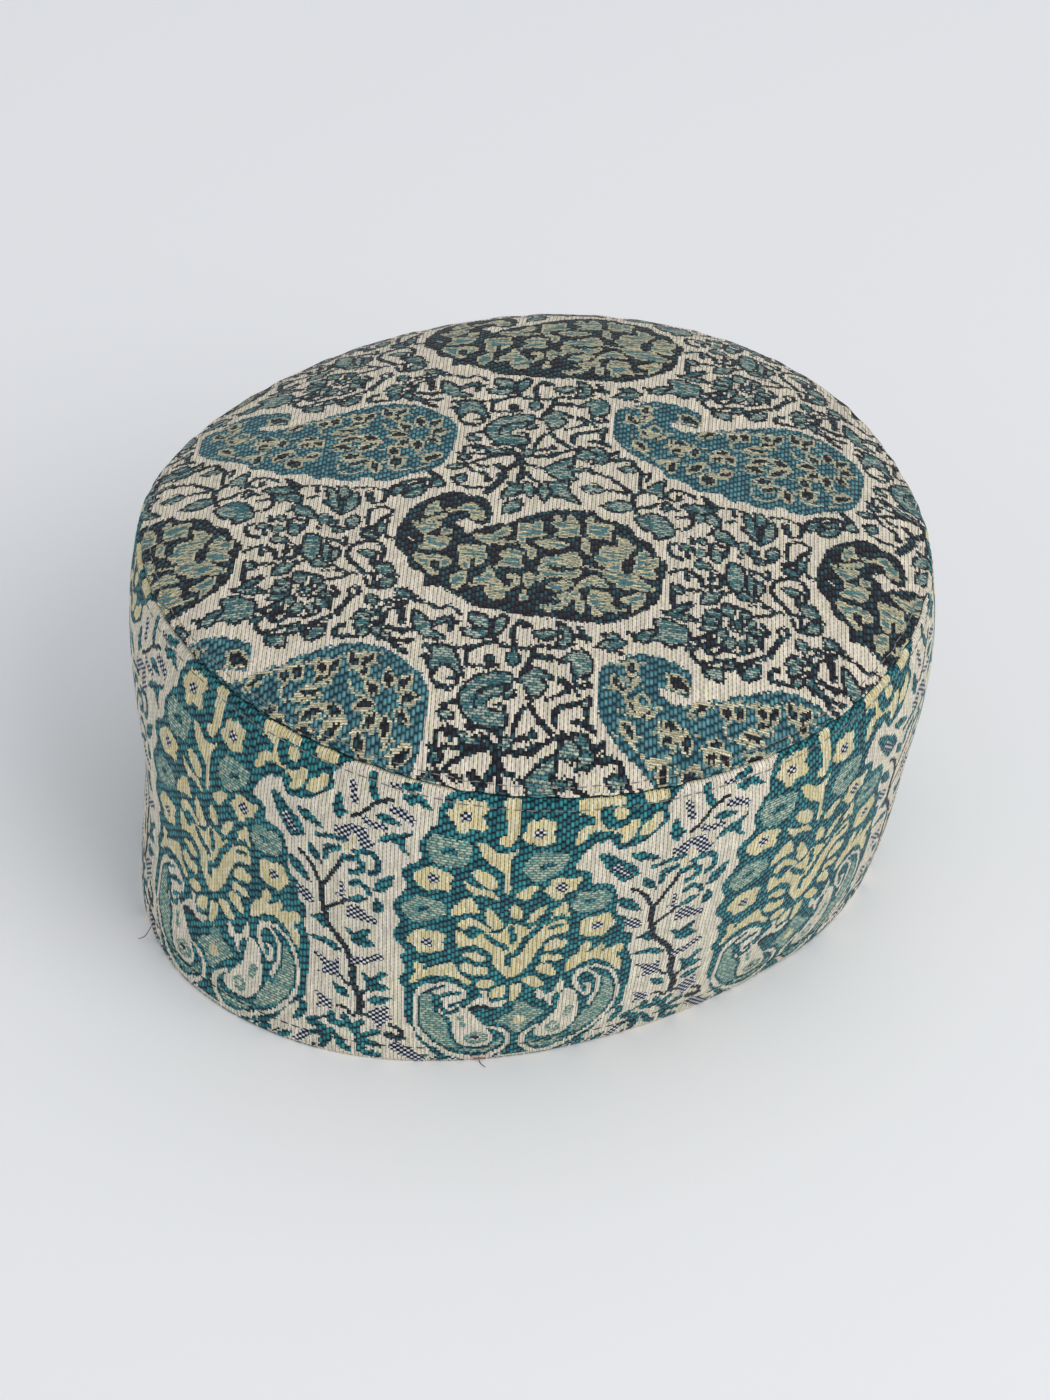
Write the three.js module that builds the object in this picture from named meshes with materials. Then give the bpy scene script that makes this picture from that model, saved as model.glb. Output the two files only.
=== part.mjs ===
// Pillbox cap of patterned shawl cloth, in millimetres, +Z up.
// A straight band stands round the head, and a low domed oval crown panel is
// sewn to its top edge. The hem stands on z = 0. The front of the cap is -Y and
// the wearer's left is +X. Angles called "turn" start at the front and run
// anticlockwise seen from above. Apart from soft dents, left and right match.
import * as THREE from "three";

// Driving sizes
const HEM_RADIUS = 92.7; // mean radius of the oval hem, 590 mm round outside
const SEAM_RADIUS = 99.1; // mean radius of the oval seam between band and crown
const BAND_HEIGHT = 93.75; // hem to seam, mean
const SEAM_SADDLE = 3.05; // the seam is this much higher at front and back, lower at the sides
const CROWN_RISE = 11.5; // top of the dome above the mean seam
const CROWN_FULLNESS = 5.2; // power of the dome's curve: flat in the middle, steep at the rim
const WALL = 2.0; // cloth and its interfacing
const HEM_WALL = 2.8; // the same with the cloth turned up inside the hem
const HEM_TURN = 11.0; // height of the turned-up cloth
const SEAM_ROLL = 0.8; // how far the cloth rolls in at the seam
const HEM_ROLL = 0.3; // the same under the hem, which is pressed flat
const ROLL_HEIGHT = 1.3; // how far from the edge the roll starts
const SEAM_GAP = 0.3; // between the two pieces

// How far the oval departs from a circle, as a share of its mean radius.
const OVAL = [
  { waves: 1, hem: 0.0377, seam: 0.015 },
  { waves: 2, hem: 0.1017, seam: 0.0146 },
  { waves: 3, hem: 0.0281, seam: 0.0045 },
  { waves: 4, hem: 0.0005, seam: -0.008 },
];

// How far the band swells past a straight line from hem to seam, by the number
// of half waves up its height: all round, more at the front, more at both ends.
const SWELL = [
  { halfWaves: 1, allRound: 3.74, front: -0.22, ends: -1.72 },
  { halfWaves: 2, allRound: -0.83, front: 0, ends: -0.31 },
  { halfWaves: 3, allRound: 0.59, front: 0, ends: 0 },
];

// Where the cloth stands in or out of that even shape, by up to so much at a
// turn in degrees and a height above the hem, fading over a reach each way.
const DENTS = [
  { place: "pinch by the right temple", turn: -26, height: 33, inward: 1.3, turnReach: 20, heightReach: 17 },
  { place: "flare of the hem in front", turn: -6, height: 0, inward: -1.1, turnReach: 24, heightReach: 22 },
  { place: "shoulder on the right", turn: -54, height: 94, inward: -1.5, turnReach: 22, heightReach: 24 },
  { place: "shoulder at the back", turn: -170, height: 97, inward: -1.4, turnReach: 26, heightReach: 24 },
];

// Fineness of the facets
const COLUMNS = 96; // round the head
const BAND_ROWS = 11; // up the band, between the rolled edges
const CROWN_RINGS = 10; // from the middle of the crown to its rim
const RING_CROWDING = 1.8; // rings stand closer towards the rim

function ovalRadius(turn, edge, meanRadius) {
  const waves = OVAL.map((row) => row[edge] * Math.cos(row.waves * turn));
  return meanRadius * (1 + waves.reduce((sum, wave) => sum + wave, 0));
}

function swell(turn, rise) {
  const waves = SWELL.map((row) => {
    const size = row.allRound + row.front * Math.cos(turn) + row.ends * Math.cos(2 * turn);
    return size * Math.sin(row.halfWaves * Math.PI * rise);
  });
  return waves.reduce((sum, wave) => sum + wave, 0);
}

function seamHeight(turn) {
  return BAND_HEIGHT + SEAM_SADDLE * Math.cos(2 * turn);
}

function dentDepth(turn, height) {
  const depths = DENTS.map((dent) => {
    const fromMiddle = turn - THREE.MathUtils.degToRad(dent.turn);
    const across = Math.atan2(Math.sin(fromMiddle), Math.cos(fromMiddle));
    const x = across / THREE.MathUtils.degToRad(dent.turnReach);
    const y = (height - dent.height) / dent.heightReach;
    return dent.inward * Math.exp(-(x * x + y * y));
  });
  return depths.reduce((sum, depth) => sum + depth, 0);
}

function hemRadius(turn) {
  return ovalRadius(turn, "hem", HEM_RADIUS);
}

function seamRadius(turn) {
  return ovalRadius(turn, "seam", SEAM_RADIUS);
}

// The crown's rim follows the dents of the band that it is sewn to.
function rimRadius(turn) {
  return seamRadius(turn) - dentDepth(turn, seamHeight(turn));
}

function atTurn(turn, radius, z) {
  return new THREE.Vector3(radius * Math.sin(turn), -radius * Math.cos(turn), z);
}

// A point of the band at a height above the hem, so far inside its outer face.
function bandPoint(turn, z, inset) {
  const rise = z / seamHeight(turn);
  const straight = THREE.MathUtils.lerp(hemRadius(turn), seamRadius(turn), rise);
  const radius = straight + swell(turn, rise) - dentDepth(turn, z);
  return atTurn(turn, radius - inset, z);
}

// The cut through the band's wall, as a closed loop: up outside, down inside.
function bandSection(turn) {
  const top = seamHeight(turn) - SEAM_GAP / 2;
  const points = [bandPoint(turn, 0, HEM_ROLL)];
  for (let row = 0; row <= BAND_ROWS; row += 1) {
    const z = THREE.MathUtils.lerp(ROLL_HEIGHT, top - ROLL_HEIGHT, row / BAND_ROWS);
    points.push(bandPoint(turn, z, 0));
  }
  points.push(bandPoint(turn, top, SEAM_ROLL));
  for (let row = BAND_ROWS; row >= 0; row -= 1) {
    const z = THREE.MathUtils.lerp(HEM_TURN + ROLL_HEIGHT, top, row / BAND_ROWS);
    points.push(bandPoint(turn, z, WALL));
  }
  points.push(bandPoint(turn, HEM_TURN, HEM_WALL));
  points.push(bandPoint(turn, 0, HEM_WALL));
  return points;
}

// The dome's outer face, where share goes from 0 in the middle to 1 at the seam.
function domeHeight(turn, share) {
  const saddle = SEAM_SADDLE * Math.cos(2 * turn) * share ** 2;
  const dome = CROWN_RISE * (1 - share ** CROWN_FULLNESS);
  return BAND_HEIGHT + SEAM_GAP / 2 + saddle + dome;
}

// The wall's thickness measured straight down, more where the dome is steep.
function domeDepth(turn, share) {
  const fall = (CROWN_RISE * CROWN_FULLNESS * share ** (CROWN_FULLNESS - 1)) / SEAM_RADIUS;
  return WALL * Math.hypot(1, fall);
}

function crownPoint(turn, share, inset, depth) {
  const radius = share * rimRadius(turn) - inset;
  return atTurn(turn, radius, domeHeight(turn, share) - depth);
}

// The share of the radius at which the inner face comes down to the rim.
function innerShare() {
  let share = 1;
  while (CROWN_RISE * (1 - share ** CROWN_FULLNESS) < domeDepth(0, share)) {
    share -= 0.001;
  }
  return share;
}

function ringShare(ring) {
  return 1 - (1 - ring / CROWN_RINGS) ** RING_CROWDING;
}

// Half a cut through the crown, from the middle of its outer face over the rim
// to the middle of its inner face.
function crownSection(turn) {
  const points = [];
  const rollShare = 1 - ROLL_HEIGHT / SEAM_RADIUS;
  for (let ring = 0; ring <= CROWN_RINGS; ring += 1) {
    points.push(crownPoint(turn, ringShare(ring) * rollShare, 0, 0));
  }
  points.push(crownPoint(turn, 1, SEAM_ROLL, 0));
  const inner = innerShare();
  const rimHeight = domeHeight(turn, 1);
  points.push(atTurn(turn, inner * rimRadius(turn), rimHeight));
  for (let ring = CROWN_RINGS - 1; ring >= 0; ring -= 1) {
    const share = ringShare(ring) * inner;
    points.push(crownPoint(turn, share, 0, domeDepth(turn, share)));
  }
  return points;
}

function geometryFrom(points, triangles) {
  const geometry = new THREE.BufferGeometry();
  geometry.setFromPoints(points);
  geometry.setIndex(triangles.flat());
  geometry.computeVertexNormals();
  return geometry;
}

// A closed ring through the same loop of points at every turn.
function loftRing(section) {
  const points = [];
  for (let column = 0; column < COLUMNS; column += 1) {
    points.push(...section((2 * Math.PI * column) / COLUMNS));
  }
  const rows = points.length / COLUMNS;
  const at = (column, row) => (column % COLUMNS) * rows + (row % rows);
  const triangles = [];
  for (let column = 0; column < COLUMNS; column += 1) {
    for (let row = 0; row < rows; row += 1) {
      const [a, b] = [at(column, row), at(column + 1, row)];
      const [c, d] = [at(column + 1, row + 1), at(column, row + 1)];
      triangles.push([a, b, c], [a, c, d]);
    }
  }
  return geometryFrom(points, triangles);
}

// A closed cap through the same half section at every turn, whose first and
// last points lie on the axis and are shared by all the turns.
function loftCap(section) {
  const [top, ...rest] = section(0);
  const points = [top, rest.pop()];
  const rows = rest.length;
  for (let column = 0; column < COLUMNS; column += 1) {
    points.push(...section((2 * Math.PI * column) / COLUMNS).slice(1, -1));
  }
  const at = (column, row) => 2 + (column % COLUMNS) * rows + row;
  const triangles = [];
  for (let column = 0; column < COLUMNS; column += 1) {
    triangles.push([0, at(column, 0), at(column + 1, 0)]);
    for (let row = 0; row < rows - 1; row += 1) {
      const [a, b] = [at(column, row), at(column + 1, row)];
      const [c, d] = [at(column + 1, row + 1), at(column, row + 1)];
      triangles.push([a, d, c], [a, c, b]);
    }
    triangles.push([1, at(column + 1, rows - 1), at(column, rows - 1)]);
  }
  return geometryFrom(points, triangles);
}

function cloth(name, colour, geometry) {
  const material = new THREE.MeshStandardMaterial({ color: colour, roughness: 0.9, metalness: 0 });
  const mesh = new THREE.Mesh(geometry, material);
  mesh.name = name;
  return mesh;
}

const cap = new THREE.Group();
cap.add(cloth("side_band", 0x4f8a85, loftRing(bandSection)));
cap.add(cloth("crown_panel", 0x8b9a8e, loftCap(crownSection)));

// The front of the oval is longer than the back, so the cap is moved until the
// origin is under the middle of its box.
const middle = new THREE.Box3().setFromObject(cap).getCenter(new THREE.Vector3());
cap.position.set(-middle.x, -middle.y, 0);

export default cap;
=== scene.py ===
import math

import bpy
import numpy as np
from mathutils import Matrix, Vector


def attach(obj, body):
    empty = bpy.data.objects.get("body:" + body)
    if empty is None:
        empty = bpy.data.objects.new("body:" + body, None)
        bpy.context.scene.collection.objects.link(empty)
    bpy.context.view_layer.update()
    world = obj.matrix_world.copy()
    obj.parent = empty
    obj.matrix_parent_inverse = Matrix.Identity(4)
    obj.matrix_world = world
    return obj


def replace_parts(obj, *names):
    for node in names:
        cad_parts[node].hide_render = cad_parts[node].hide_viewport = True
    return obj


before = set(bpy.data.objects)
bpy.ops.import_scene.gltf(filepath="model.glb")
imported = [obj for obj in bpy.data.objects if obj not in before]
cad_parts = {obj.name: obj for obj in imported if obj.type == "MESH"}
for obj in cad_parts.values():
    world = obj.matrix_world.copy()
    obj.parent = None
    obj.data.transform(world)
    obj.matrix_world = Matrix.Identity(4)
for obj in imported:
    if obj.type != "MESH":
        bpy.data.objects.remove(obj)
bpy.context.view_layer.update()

MM = 0.001
TINY = 1e-9  # keeps a divisor above zero
chance = np.random.default_rng(7)

# The cap's shape
HEM_RADIUS = 92.7
SEAM_RADIUS = 99.1
BAND_HEIGHT = 93.75
SEAM_SADDLE = 3.05
CROWN_RISE = 11.5
CROWN_FULLNESS = 5.2
WALL = 2.0
HEM_WALL = 2.8
HEM_TURN = 11.0
# waves round the head, then their share of the radius at the hem and the seam
OVAL = [(1, 0.0377, 0.015), (2, 0.1017, 0.0146), (3, 0.0281, 0.0045), (4, 0.0005, -0.008)]
# half waves up the band, then the swell all round, at the front and at both ends
SWELL = [(1, 3.74, -0.22, -1.72), (2, -0.83, 0.0, -0.31), (3, 0.59, 0.0, 0.0)]
# turn in degrees, height, depth inward, reach in degrees and in height
DENTS = [(-26, 33, 1.3, 20, 17), (-6, 0, -1.1, 24, 22), (-54, 94, -1.5, 22, 24), (-170, 97, -1.4, 26, 24)]

# The softness of the cloth
# waves round the head, change of phase up the band, phase and size
RIPPLES = [(3, 1.4, 0.3, 0.22), (5, 2.2, 1.9, 0.18), (8, -2.6, 4.0, 0.14), (13, 3.4, 2.2, 0.09)]
PUCKERS = [(47, 0.4, 0.10), (71, 2.0, 0.10), (103, 4.4, 0.07)]  # waves, phase and size beside the seam
PUCKER_REACH = 7.0
PUCKER_LAG = 0.03  # turn between the crown's puckers and the band's
GROOVE = 0.28
GROOVE_REACH = 0.9
JOIN_DEPTH = 0.9
JOIN_REACH = 0.7

# Rolled edges, as (height from the edge, depth inside the face[, thread row])
SEAM_GAP = 0.3
HEM_FOLD = [(HEM_TURN - 0.5, HEM_WALL, -24), (1.4, HEM_WALL, -6), (0.35, HEM_WALL - 0.3, -4),
            (0.0, HEM_WALL - 1.1, -2), (0.0, 0.45, 0)]
SEAM_FOLD = [(0.30, 0.75, 0), (0.05, 1.30, 2), (0.35, WALL, 4)]
RIM_FOLD = [(0.32, 0.86), (0.06, 1.15), (0.02, 2.1)]
ROLL_DEPTH = 0.55
ROLL_REACH = 0.8
INNER_ROWS = 10
INNER_LOW = 0.8  # from the turned-up hem to the lowest row inside
INNER_HIGH = 1.6  # from the seam down to the highest one
INNER_THREAD = 8  # thread rows that the fold at the seam takes
HEM_LIP = 0.25
RIM_SHARE = 0.988
INNER_SHARE = 0.965

# The cloth
WARP = 0.577  # from one lengthwise thread to the next
WEFT = 0.5186  # from one crosswise thread to the next
BLOCK = 2  # threads along each side of a face
BAND_ROWS = round(BAND_HEIGHT / WEFT / BLOCK)
CROWN_REACH = (106, 112)  # more than half the crown, across and along its grain
CROWN_REPEAT = (105.4, 99.9)
BAND_REPEAT = (83.0, 97.0)
CROWN_RAGGED = 0.45  # how far a thread may stray from a drawn edge
BAND_RAGGED = 0.32
GRAIN_TURN = math.radians(50.4)  # of the crown's crosswise threads, from +X
GRAIN_SKEW = 0.0253
CROWN_STEP = [repeat / round(repeat / pitch) for repeat, pitch in zip(CROWN_REPEAT, (WARP, WEFT))]
# The crown's cloth lies a little skewed: powers of x and y in decimetres, then the shift in mm
ACROSS_DRIFT = [(0, 1, -1.5), (1, 1, 1.0), (0, 2, -1.7), (2, 0, 0.7), (1, 2, -2.9)]
ALONG_DRIFT = [(1, 0, 3.8), (0, 2, 10.1), (0, 3, -2.3), (1, 1, -0.8), (2, 0, 7.1), (2, 1, 14.4), (1, 2, -5.0)]
DRIFT_ROUNDS = 12  # enough to undo the drift

# The yarns
LABELS = 8
CREAM, INK, TEAL, PALE, YELLOW, CHECK, LEAF, GREEN = range(LABELS)
RIB, TWILL, STREAK, CHEQUER = range(4)
# for each label: the weave, the colour of the gap between its yarns (painted shade in
# the recess, over the yarn beneath where it shows), two yarns that take turns,
# the share of the second one, and the length and pitch of a streak in threads
CLOTHS = [
    (RIB, (0.05, 0.04, 0.03), (0.83, 0.74, 0.62), (0.81, 0.75, 0.55), 0.35, 1.0, 1.0),
    (TWILL, (0.005, 0.006, 0.010), (0.024, 0.027, 0.037), (0.030, 0.10, 0.12), 0.45, 1.0, 1.0),
    (TWILL, (0.008, 0.034, 0.046), (0.13, 0.34, 0.38), (0.075, 0.23, 0.28), 0.40, 1.0, 1.0),
    (STREAK, (0.025, 0.10, 0.12), (0.88, 0.78, 0.48), (0.14, 0.34, 0.35), 0.40, 5.5, 1.1),
    (STREAK, (0.24, 0.23, 0.15), (0.92, 0.82, 0.54), (0.84, 0.80, 0.56), 0.40, 12.0, 1.1),
    (CHEQUER, (0.008, 0.008, 0.016), (0.88, 0.91, 0.96), (0.72, 0.78, 0.90), 0.40, 1.0, 1.0),
    (STREAK, (0.005, 0.028, 0.036), (0.50, 0.62, 0.52), (0.08, 0.27, 0.29), 0.38, 3.4, 1.4),
    (STREAK, (0.010, 0.10, 0.11), (0.62, 0.73, 0.56), (0.30, 0.53, 0.45), 0.35, 3.0, 1.6),
]
# labels that the band's cloth weaves in another way
BAND_CLOTHS = {
    CREAM: (RIB, (0.05, 0.04, 0.03), (0.88, 0.80, 0.67), (0.86, 0.81, 0.60), 0.35, 1.0, 1.0),
    TEAL: (TWILL, (0.003, 0.014, 0.022), (0.042, 0.34, 0.37), (0.02, 0.20, 0.25), 0.40, 1.0, 1.0),
    YELLOW: (RIB, (0.08, 0.065, 0.02), (0.82, 0.71, 0.38), (0.88, 0.82, 0.60), 0.30, 1.0, 1.0),
}
BACK_COLOURS = [(0.62, 0.57, 0.46), (0.055, 0.25, 0.30), (0.03, 0.05, 0.07), (0.60, 0.57, 0.33)]
# the colour between the back's floats: painted shade in the gap, over the yarn beneath where it shows
BACK_GAP_YARN_AND_SHADE = (0.05, 0.08, 0.09, 1.0)
BACK_RUN = 4.0  # threads that a yarn floats over on the back
BACK_SHIFT = 9.0
BACK_ROUND = 0.4
GREY_THREAD = (0.24, 0.22, 0.20)
BROWN_THREAD = (0.018, 0.018, 0.018)
RED_LINT = (0.50, 0.05, 0.05)

# The weaves, in threads. A pair is a spread and a least value, and a "round" is
# the power of a yarn's top: under 1 it is broad, and over 1 it is a narrow spot.
RIB_PITCH = 1.7  # from one rib of the cloth to the next
RIB_ROUND = 0.55
RIB_RUN = 4.0  # how far one yarn shows along a rib
RIB_SHIFT = 9.0  # how far chance may slide it
SPECK_PITCH = 2.6
SPECK_ROUND = 2.0
SPECK_DEPTH = (0.75, 0.25)
# how deep every gap is at least; the depth also sets how much painted shade it gets
FINE_GAP = 0.22
TWILL_PITCH = 4.1
TWILL_CLIMB = 1.25  # from one rib to the next
TWILL_SHIFT = 0.30
TWILL_FLOAT = (0.25, 0.70)  # share of the pitch
TWILL_ROUND = 0.8
WAVE_FINENESS = 0.22
WAVE = (2.0, -1.0)  # how far the rows of streaks wander
STREAK_SHIFT = 0.3
STREAK_ROUND = (0.6, 0.9)  # along a streak, then all over
CHECK_PITCH = 1.5
CHECK_ROUND = 0.4
LOT_TONE = (0.36, 0.82)  # how dark the dye may be, from float to float
COLUMN_TONE = (0.20, 0.90)  # from thread to thread
CLOUD_TONE = (0.16, 0.92)  # in soft clouds
CLOUD_FINENESS = 28.0
YARN_ROUGHNESS = (-0.12, 0.86)
YARN_RELIEF = 0.34
YARN_SHEEN = 0.12
BACK_ROUGHNESS = 0.9
BACK_SHEEN = 0.15
SHEEN_ROUGHNESS = 0.45
SPECULAR = 0.25
SPUN_TONE = (0.9, 0.55)
SPUN_DYE, SPUN_TWIST = 900.0, 4000.0
SPUN_ROUGHNESS, SPUN_SHEEN, SPUN_RELIEF = 0.75, 0.1, 0.05

# The stitches and loose threads
STITCH_INSET = 3.0  # from the seam to the stitches on each side
HEM_STITCH = 5.5
STITCH = 2.9
STITCH_GAP = 0.35
STITCH_SLIP = 0.12
STITCH_STEPS = 7
STITCH_ARCH, STITCH_DIP = 2.0, 1.1  # in radii of the thread
THREAD = 0.16  # radius
LOOSE_THREAD = 0.11
THREAD_SIDES = 6
THREAD_END = 0.3  # share of the radius that is left at an end
TAPER, TAPER_ROUND = 0.04, 0.4
OFF_AXIS = (0.13, 0.07, 1.0)  # a way that no thread runs
NUDGE = (0.001, 0.05)  # the small turn and level that a face's slope is taken over
FINE_STEPS, SPOT_STEPS = 4001, 21
FLOOR_GAP = 0.1
# along the band from the front of the picture, height, and how far off the cloth
LINT_SPOTS = [(-12.0, 2.6, 0.2), (-10.6, 1.6, 0.5), (-9.4, 1.9, 0.5), (-8.0, 0.8, 0.3)]
THREAD_END_SPOTS = [(-9.6, 1.4, 0.1), (-9.4, 0.4, 0.6), (-9.0, 0.2, 1.6), (-8.2, 0.1, 2.8)]
HANGING_SPOTS = [(-110.0, 5.0, 0.1), (-109.5, 3.2, 1.3), (-109.0, 1.5, 2.8), (-109.8, 0.4, 4.2)]

# The studio
FLOOR_COLOUR = (0.95, 0.955, 0.97, 1.0)
FLOOR_HALF = 4.0
FLOOR_ROUGHNESS = 0.9
WORLD_COLOUR = (0.93, 0.955, 1.0, 1.0)
WORLD_STRENGTH = 0.52
# name, turn and elevation in degrees, then metres, metres, watts and colour
LIGHTS = [("key", 98, 46, 2.2, 1.6, 17.0, (1.0, 0.98, 0.95)),
          ("fill", 0, 30, 2.4, 1.8, 2.0, (0.93, 0.96, 1.0)),
          ("top", 180, 76, 2.2, 2.0, 6.0, (0.95, 0.97, 1.0))]

# The camera, from the photo
VIEW_TURN = math.radians(49.5)
VIEW_DOWN = 0.6952
VIEW_ROLL = 0.0523
VIEW_DISTANCE = 1296.6
VIEW_TARGET = (-1.94, -11.04, 50.0)
VIEW_LENS = 129.47
SENSOR_WIDTH = 36.0
NEAREST = 0.05


# The shape of the cap, as functions of the turn

def oval(turn, edge):
    """The radius of the hem (edge 1) or the seam (edge 2) at a turn."""
    mean = HEM_RADIUS if edge == 1 else SEAM_RADIUS
    return mean * (1 + sum(row[edge] * np.cos(row[0] * turn) for row in OVAL))


def swell(turn, rise):
    total = 0
    for half_waves, all_round, front, ends in SWELL:
        size = all_round + front * np.cos(turn) + ends * np.cos(2 * turn)
        total = total + size * np.sin(half_waves * np.pi * rise)
    return total


def dent(turn, height):
    total = 0
    for middle, level, inward, turn_reach, height_reach in DENTS:
        off = turn - math.radians(middle)
        across = np.arctan2(np.sin(off), np.cos(off)) / math.radians(turn_reach)
        up = (height - level) / height_reach
        total = total + inward * np.exp(-(across ** 2 + up ** 2))
    return total


def seam_height(turn):
    return BAND_HEIGHT + SEAM_SADDLE * np.cos(2 * turn)


def ripple(turn, z):
    """How far the soft cloth stands out of its even shape."""
    waves = 0
    for count, rise, phase, size in RIPPLES:
        waves = waves + size * np.sin(count * turn + rise * z / BAND_HEIGHT + phase)
    return waves


def pucker(turn, distance):
    """The cloth drawn together beside the seam, at a distance from it."""
    waves = sum(size * np.sin(count * turn + phase) for count, phase, size in PUCKERS)
    return waves * np.exp(-distance / PUCKER_REACH)


def groove(distance):
    """How deep the stitches pull the cloth in, at a distance from their line."""
    return GROOVE * np.exp(-(distance / GROOVE_REACH) ** 2)


def band_radius(turn, z):
    top = seam_height(turn)
    rise = np.clip(z / top, 0, 1)
    even = oval(turn, 1) * (1 - rise) + oval(turn, 2) * rise + swell(turn, rise) - dent(turn, z)
    soft = even + ripple(turn, z) + pucker(turn, top - z)
    return soft - groove(top - z - STITCH_INSET) - groove(z - HEM_STITCH)


def rim_radius(turn):
    top = seam_height(turn)
    return oval(turn, 2) - dent(turn, top) + ripple(turn, top) + pucker(turn, 0)


def dome_height(turn, share):
    """The crown's outer face, where share goes from 0 in its middle to 1 at the seam."""
    saddle = SEAM_SADDLE * np.cos(2 * turn) * share ** 2
    distance = SEAM_RADIUS * (1 - share)
    wave = pucker(turn + PUCKER_LAG, distance) - groove(distance - STITCH_INSET)
    return BAND_HEIGHT + saddle + CROWN_RISE * (1 - share ** CROWN_FULLNESS) + wave


def dome_depth(share):
    """The crown's wall measured straight down, more where the dome is steep."""
    fall = CROWN_RISE * CROWN_FULLNESS * share ** (CROWN_FULLNESS - 1) / SEAM_RADIUS
    return WALL * np.hypot(1, fall)


def at_turn(turn, radius, z):
    return np.stack([radius * np.sin(turn), -radius * np.cos(turn), z + 0 * turn], -1)


def band_face(turn, height):
    return at_turn(turn, band_radius(turn, height), height)


def crown_face(turn, share):
    return at_turn(turn, share * rim_radius(turn), SEAM_GAP / 2 + dome_height(turn, share))


def plan_middle():
    """The middle of the band's plan, which the cap's frame has at its origin."""
    turn, z = np.meshgrid(np.radians(np.arange(0, 360, 1.0)), np.linspace(0, 92, 40))
    place = band_face(turn, z).reshape(-1, 3)
    middle = (place.min(0) + place.max(0)) / 2
    return np.array([middle[0], middle[1], 0.0])


MIDDLE = plan_middle()


# The chart of a repeat, one label for each crossing of the threads

LINE_STEPS, FILL_STEPS = 6, 3  # parts between two points of a line and of a patch's edge
LEAF_FULLNESS = 0.85  # under 1 puts a leaf's widest part nearer its foot
LEAF_ENDS = (-0.03, 1.03)  # where a leaf's edge starts and ends, as shares of its length
BODY_ENDS = (0.1, 0.88)
LEAF_RIM = 0.98  # width of the edge
SLACK = 0.25  # lets a thin shape still catch a thread
MARGIN = 1.0
CURL_STEPS, CURL_IN = 9, 0.62  # points of a spiral, and the share of its radius that it winds in


def smooth(points, closed, steps):
    """More points along a curve that passes through the given ones."""
    p = np.array(points, float)
    if len(p) < 3:
        return p
    before = np.roll(p, 1, 0) if closed else np.vstack([p[:1], p[:-1]])
    after = np.roll(p, -1, 0) if closed else np.vstack([p[1:], p[-1:]])
    beyond = np.roll(p, -2, 0) if closed else np.vstack([p[2:], p[-1:], p[-1:]])
    spans = len(p) if closed else len(p) - 1
    t = np.linspace(0, 1, steps, endpoint=False)[None, :, None]
    a, b, c, d = (q[:spans, None] for q in (before, p, after, beyond))
    bend = (2 * a - 5 * b + 4 * c - d) * t ** 2 + (3 * b - a - 3 * c + d) * t ** 3
    curve = (0.5 * (2 * b + (c - a) * t + bend)).reshape(-1, 2)
    return curve if closed else np.vstack([curve, p[-1:]])


def crown_cloth(points):
    """Where points of the crown's plan, along its grain, lie on the flat cloth."""
    x, y = points[..., 0], points[..., 1]
    drifts = []
    for rows in (ACROSS_DRIFT, ALONG_DRIFT):
        drifts.append(sum(size * (x / 100) ** across * (y / 100) ** along for across, along, size in rows))
    return points + np.stack(drifts, -1)


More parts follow.
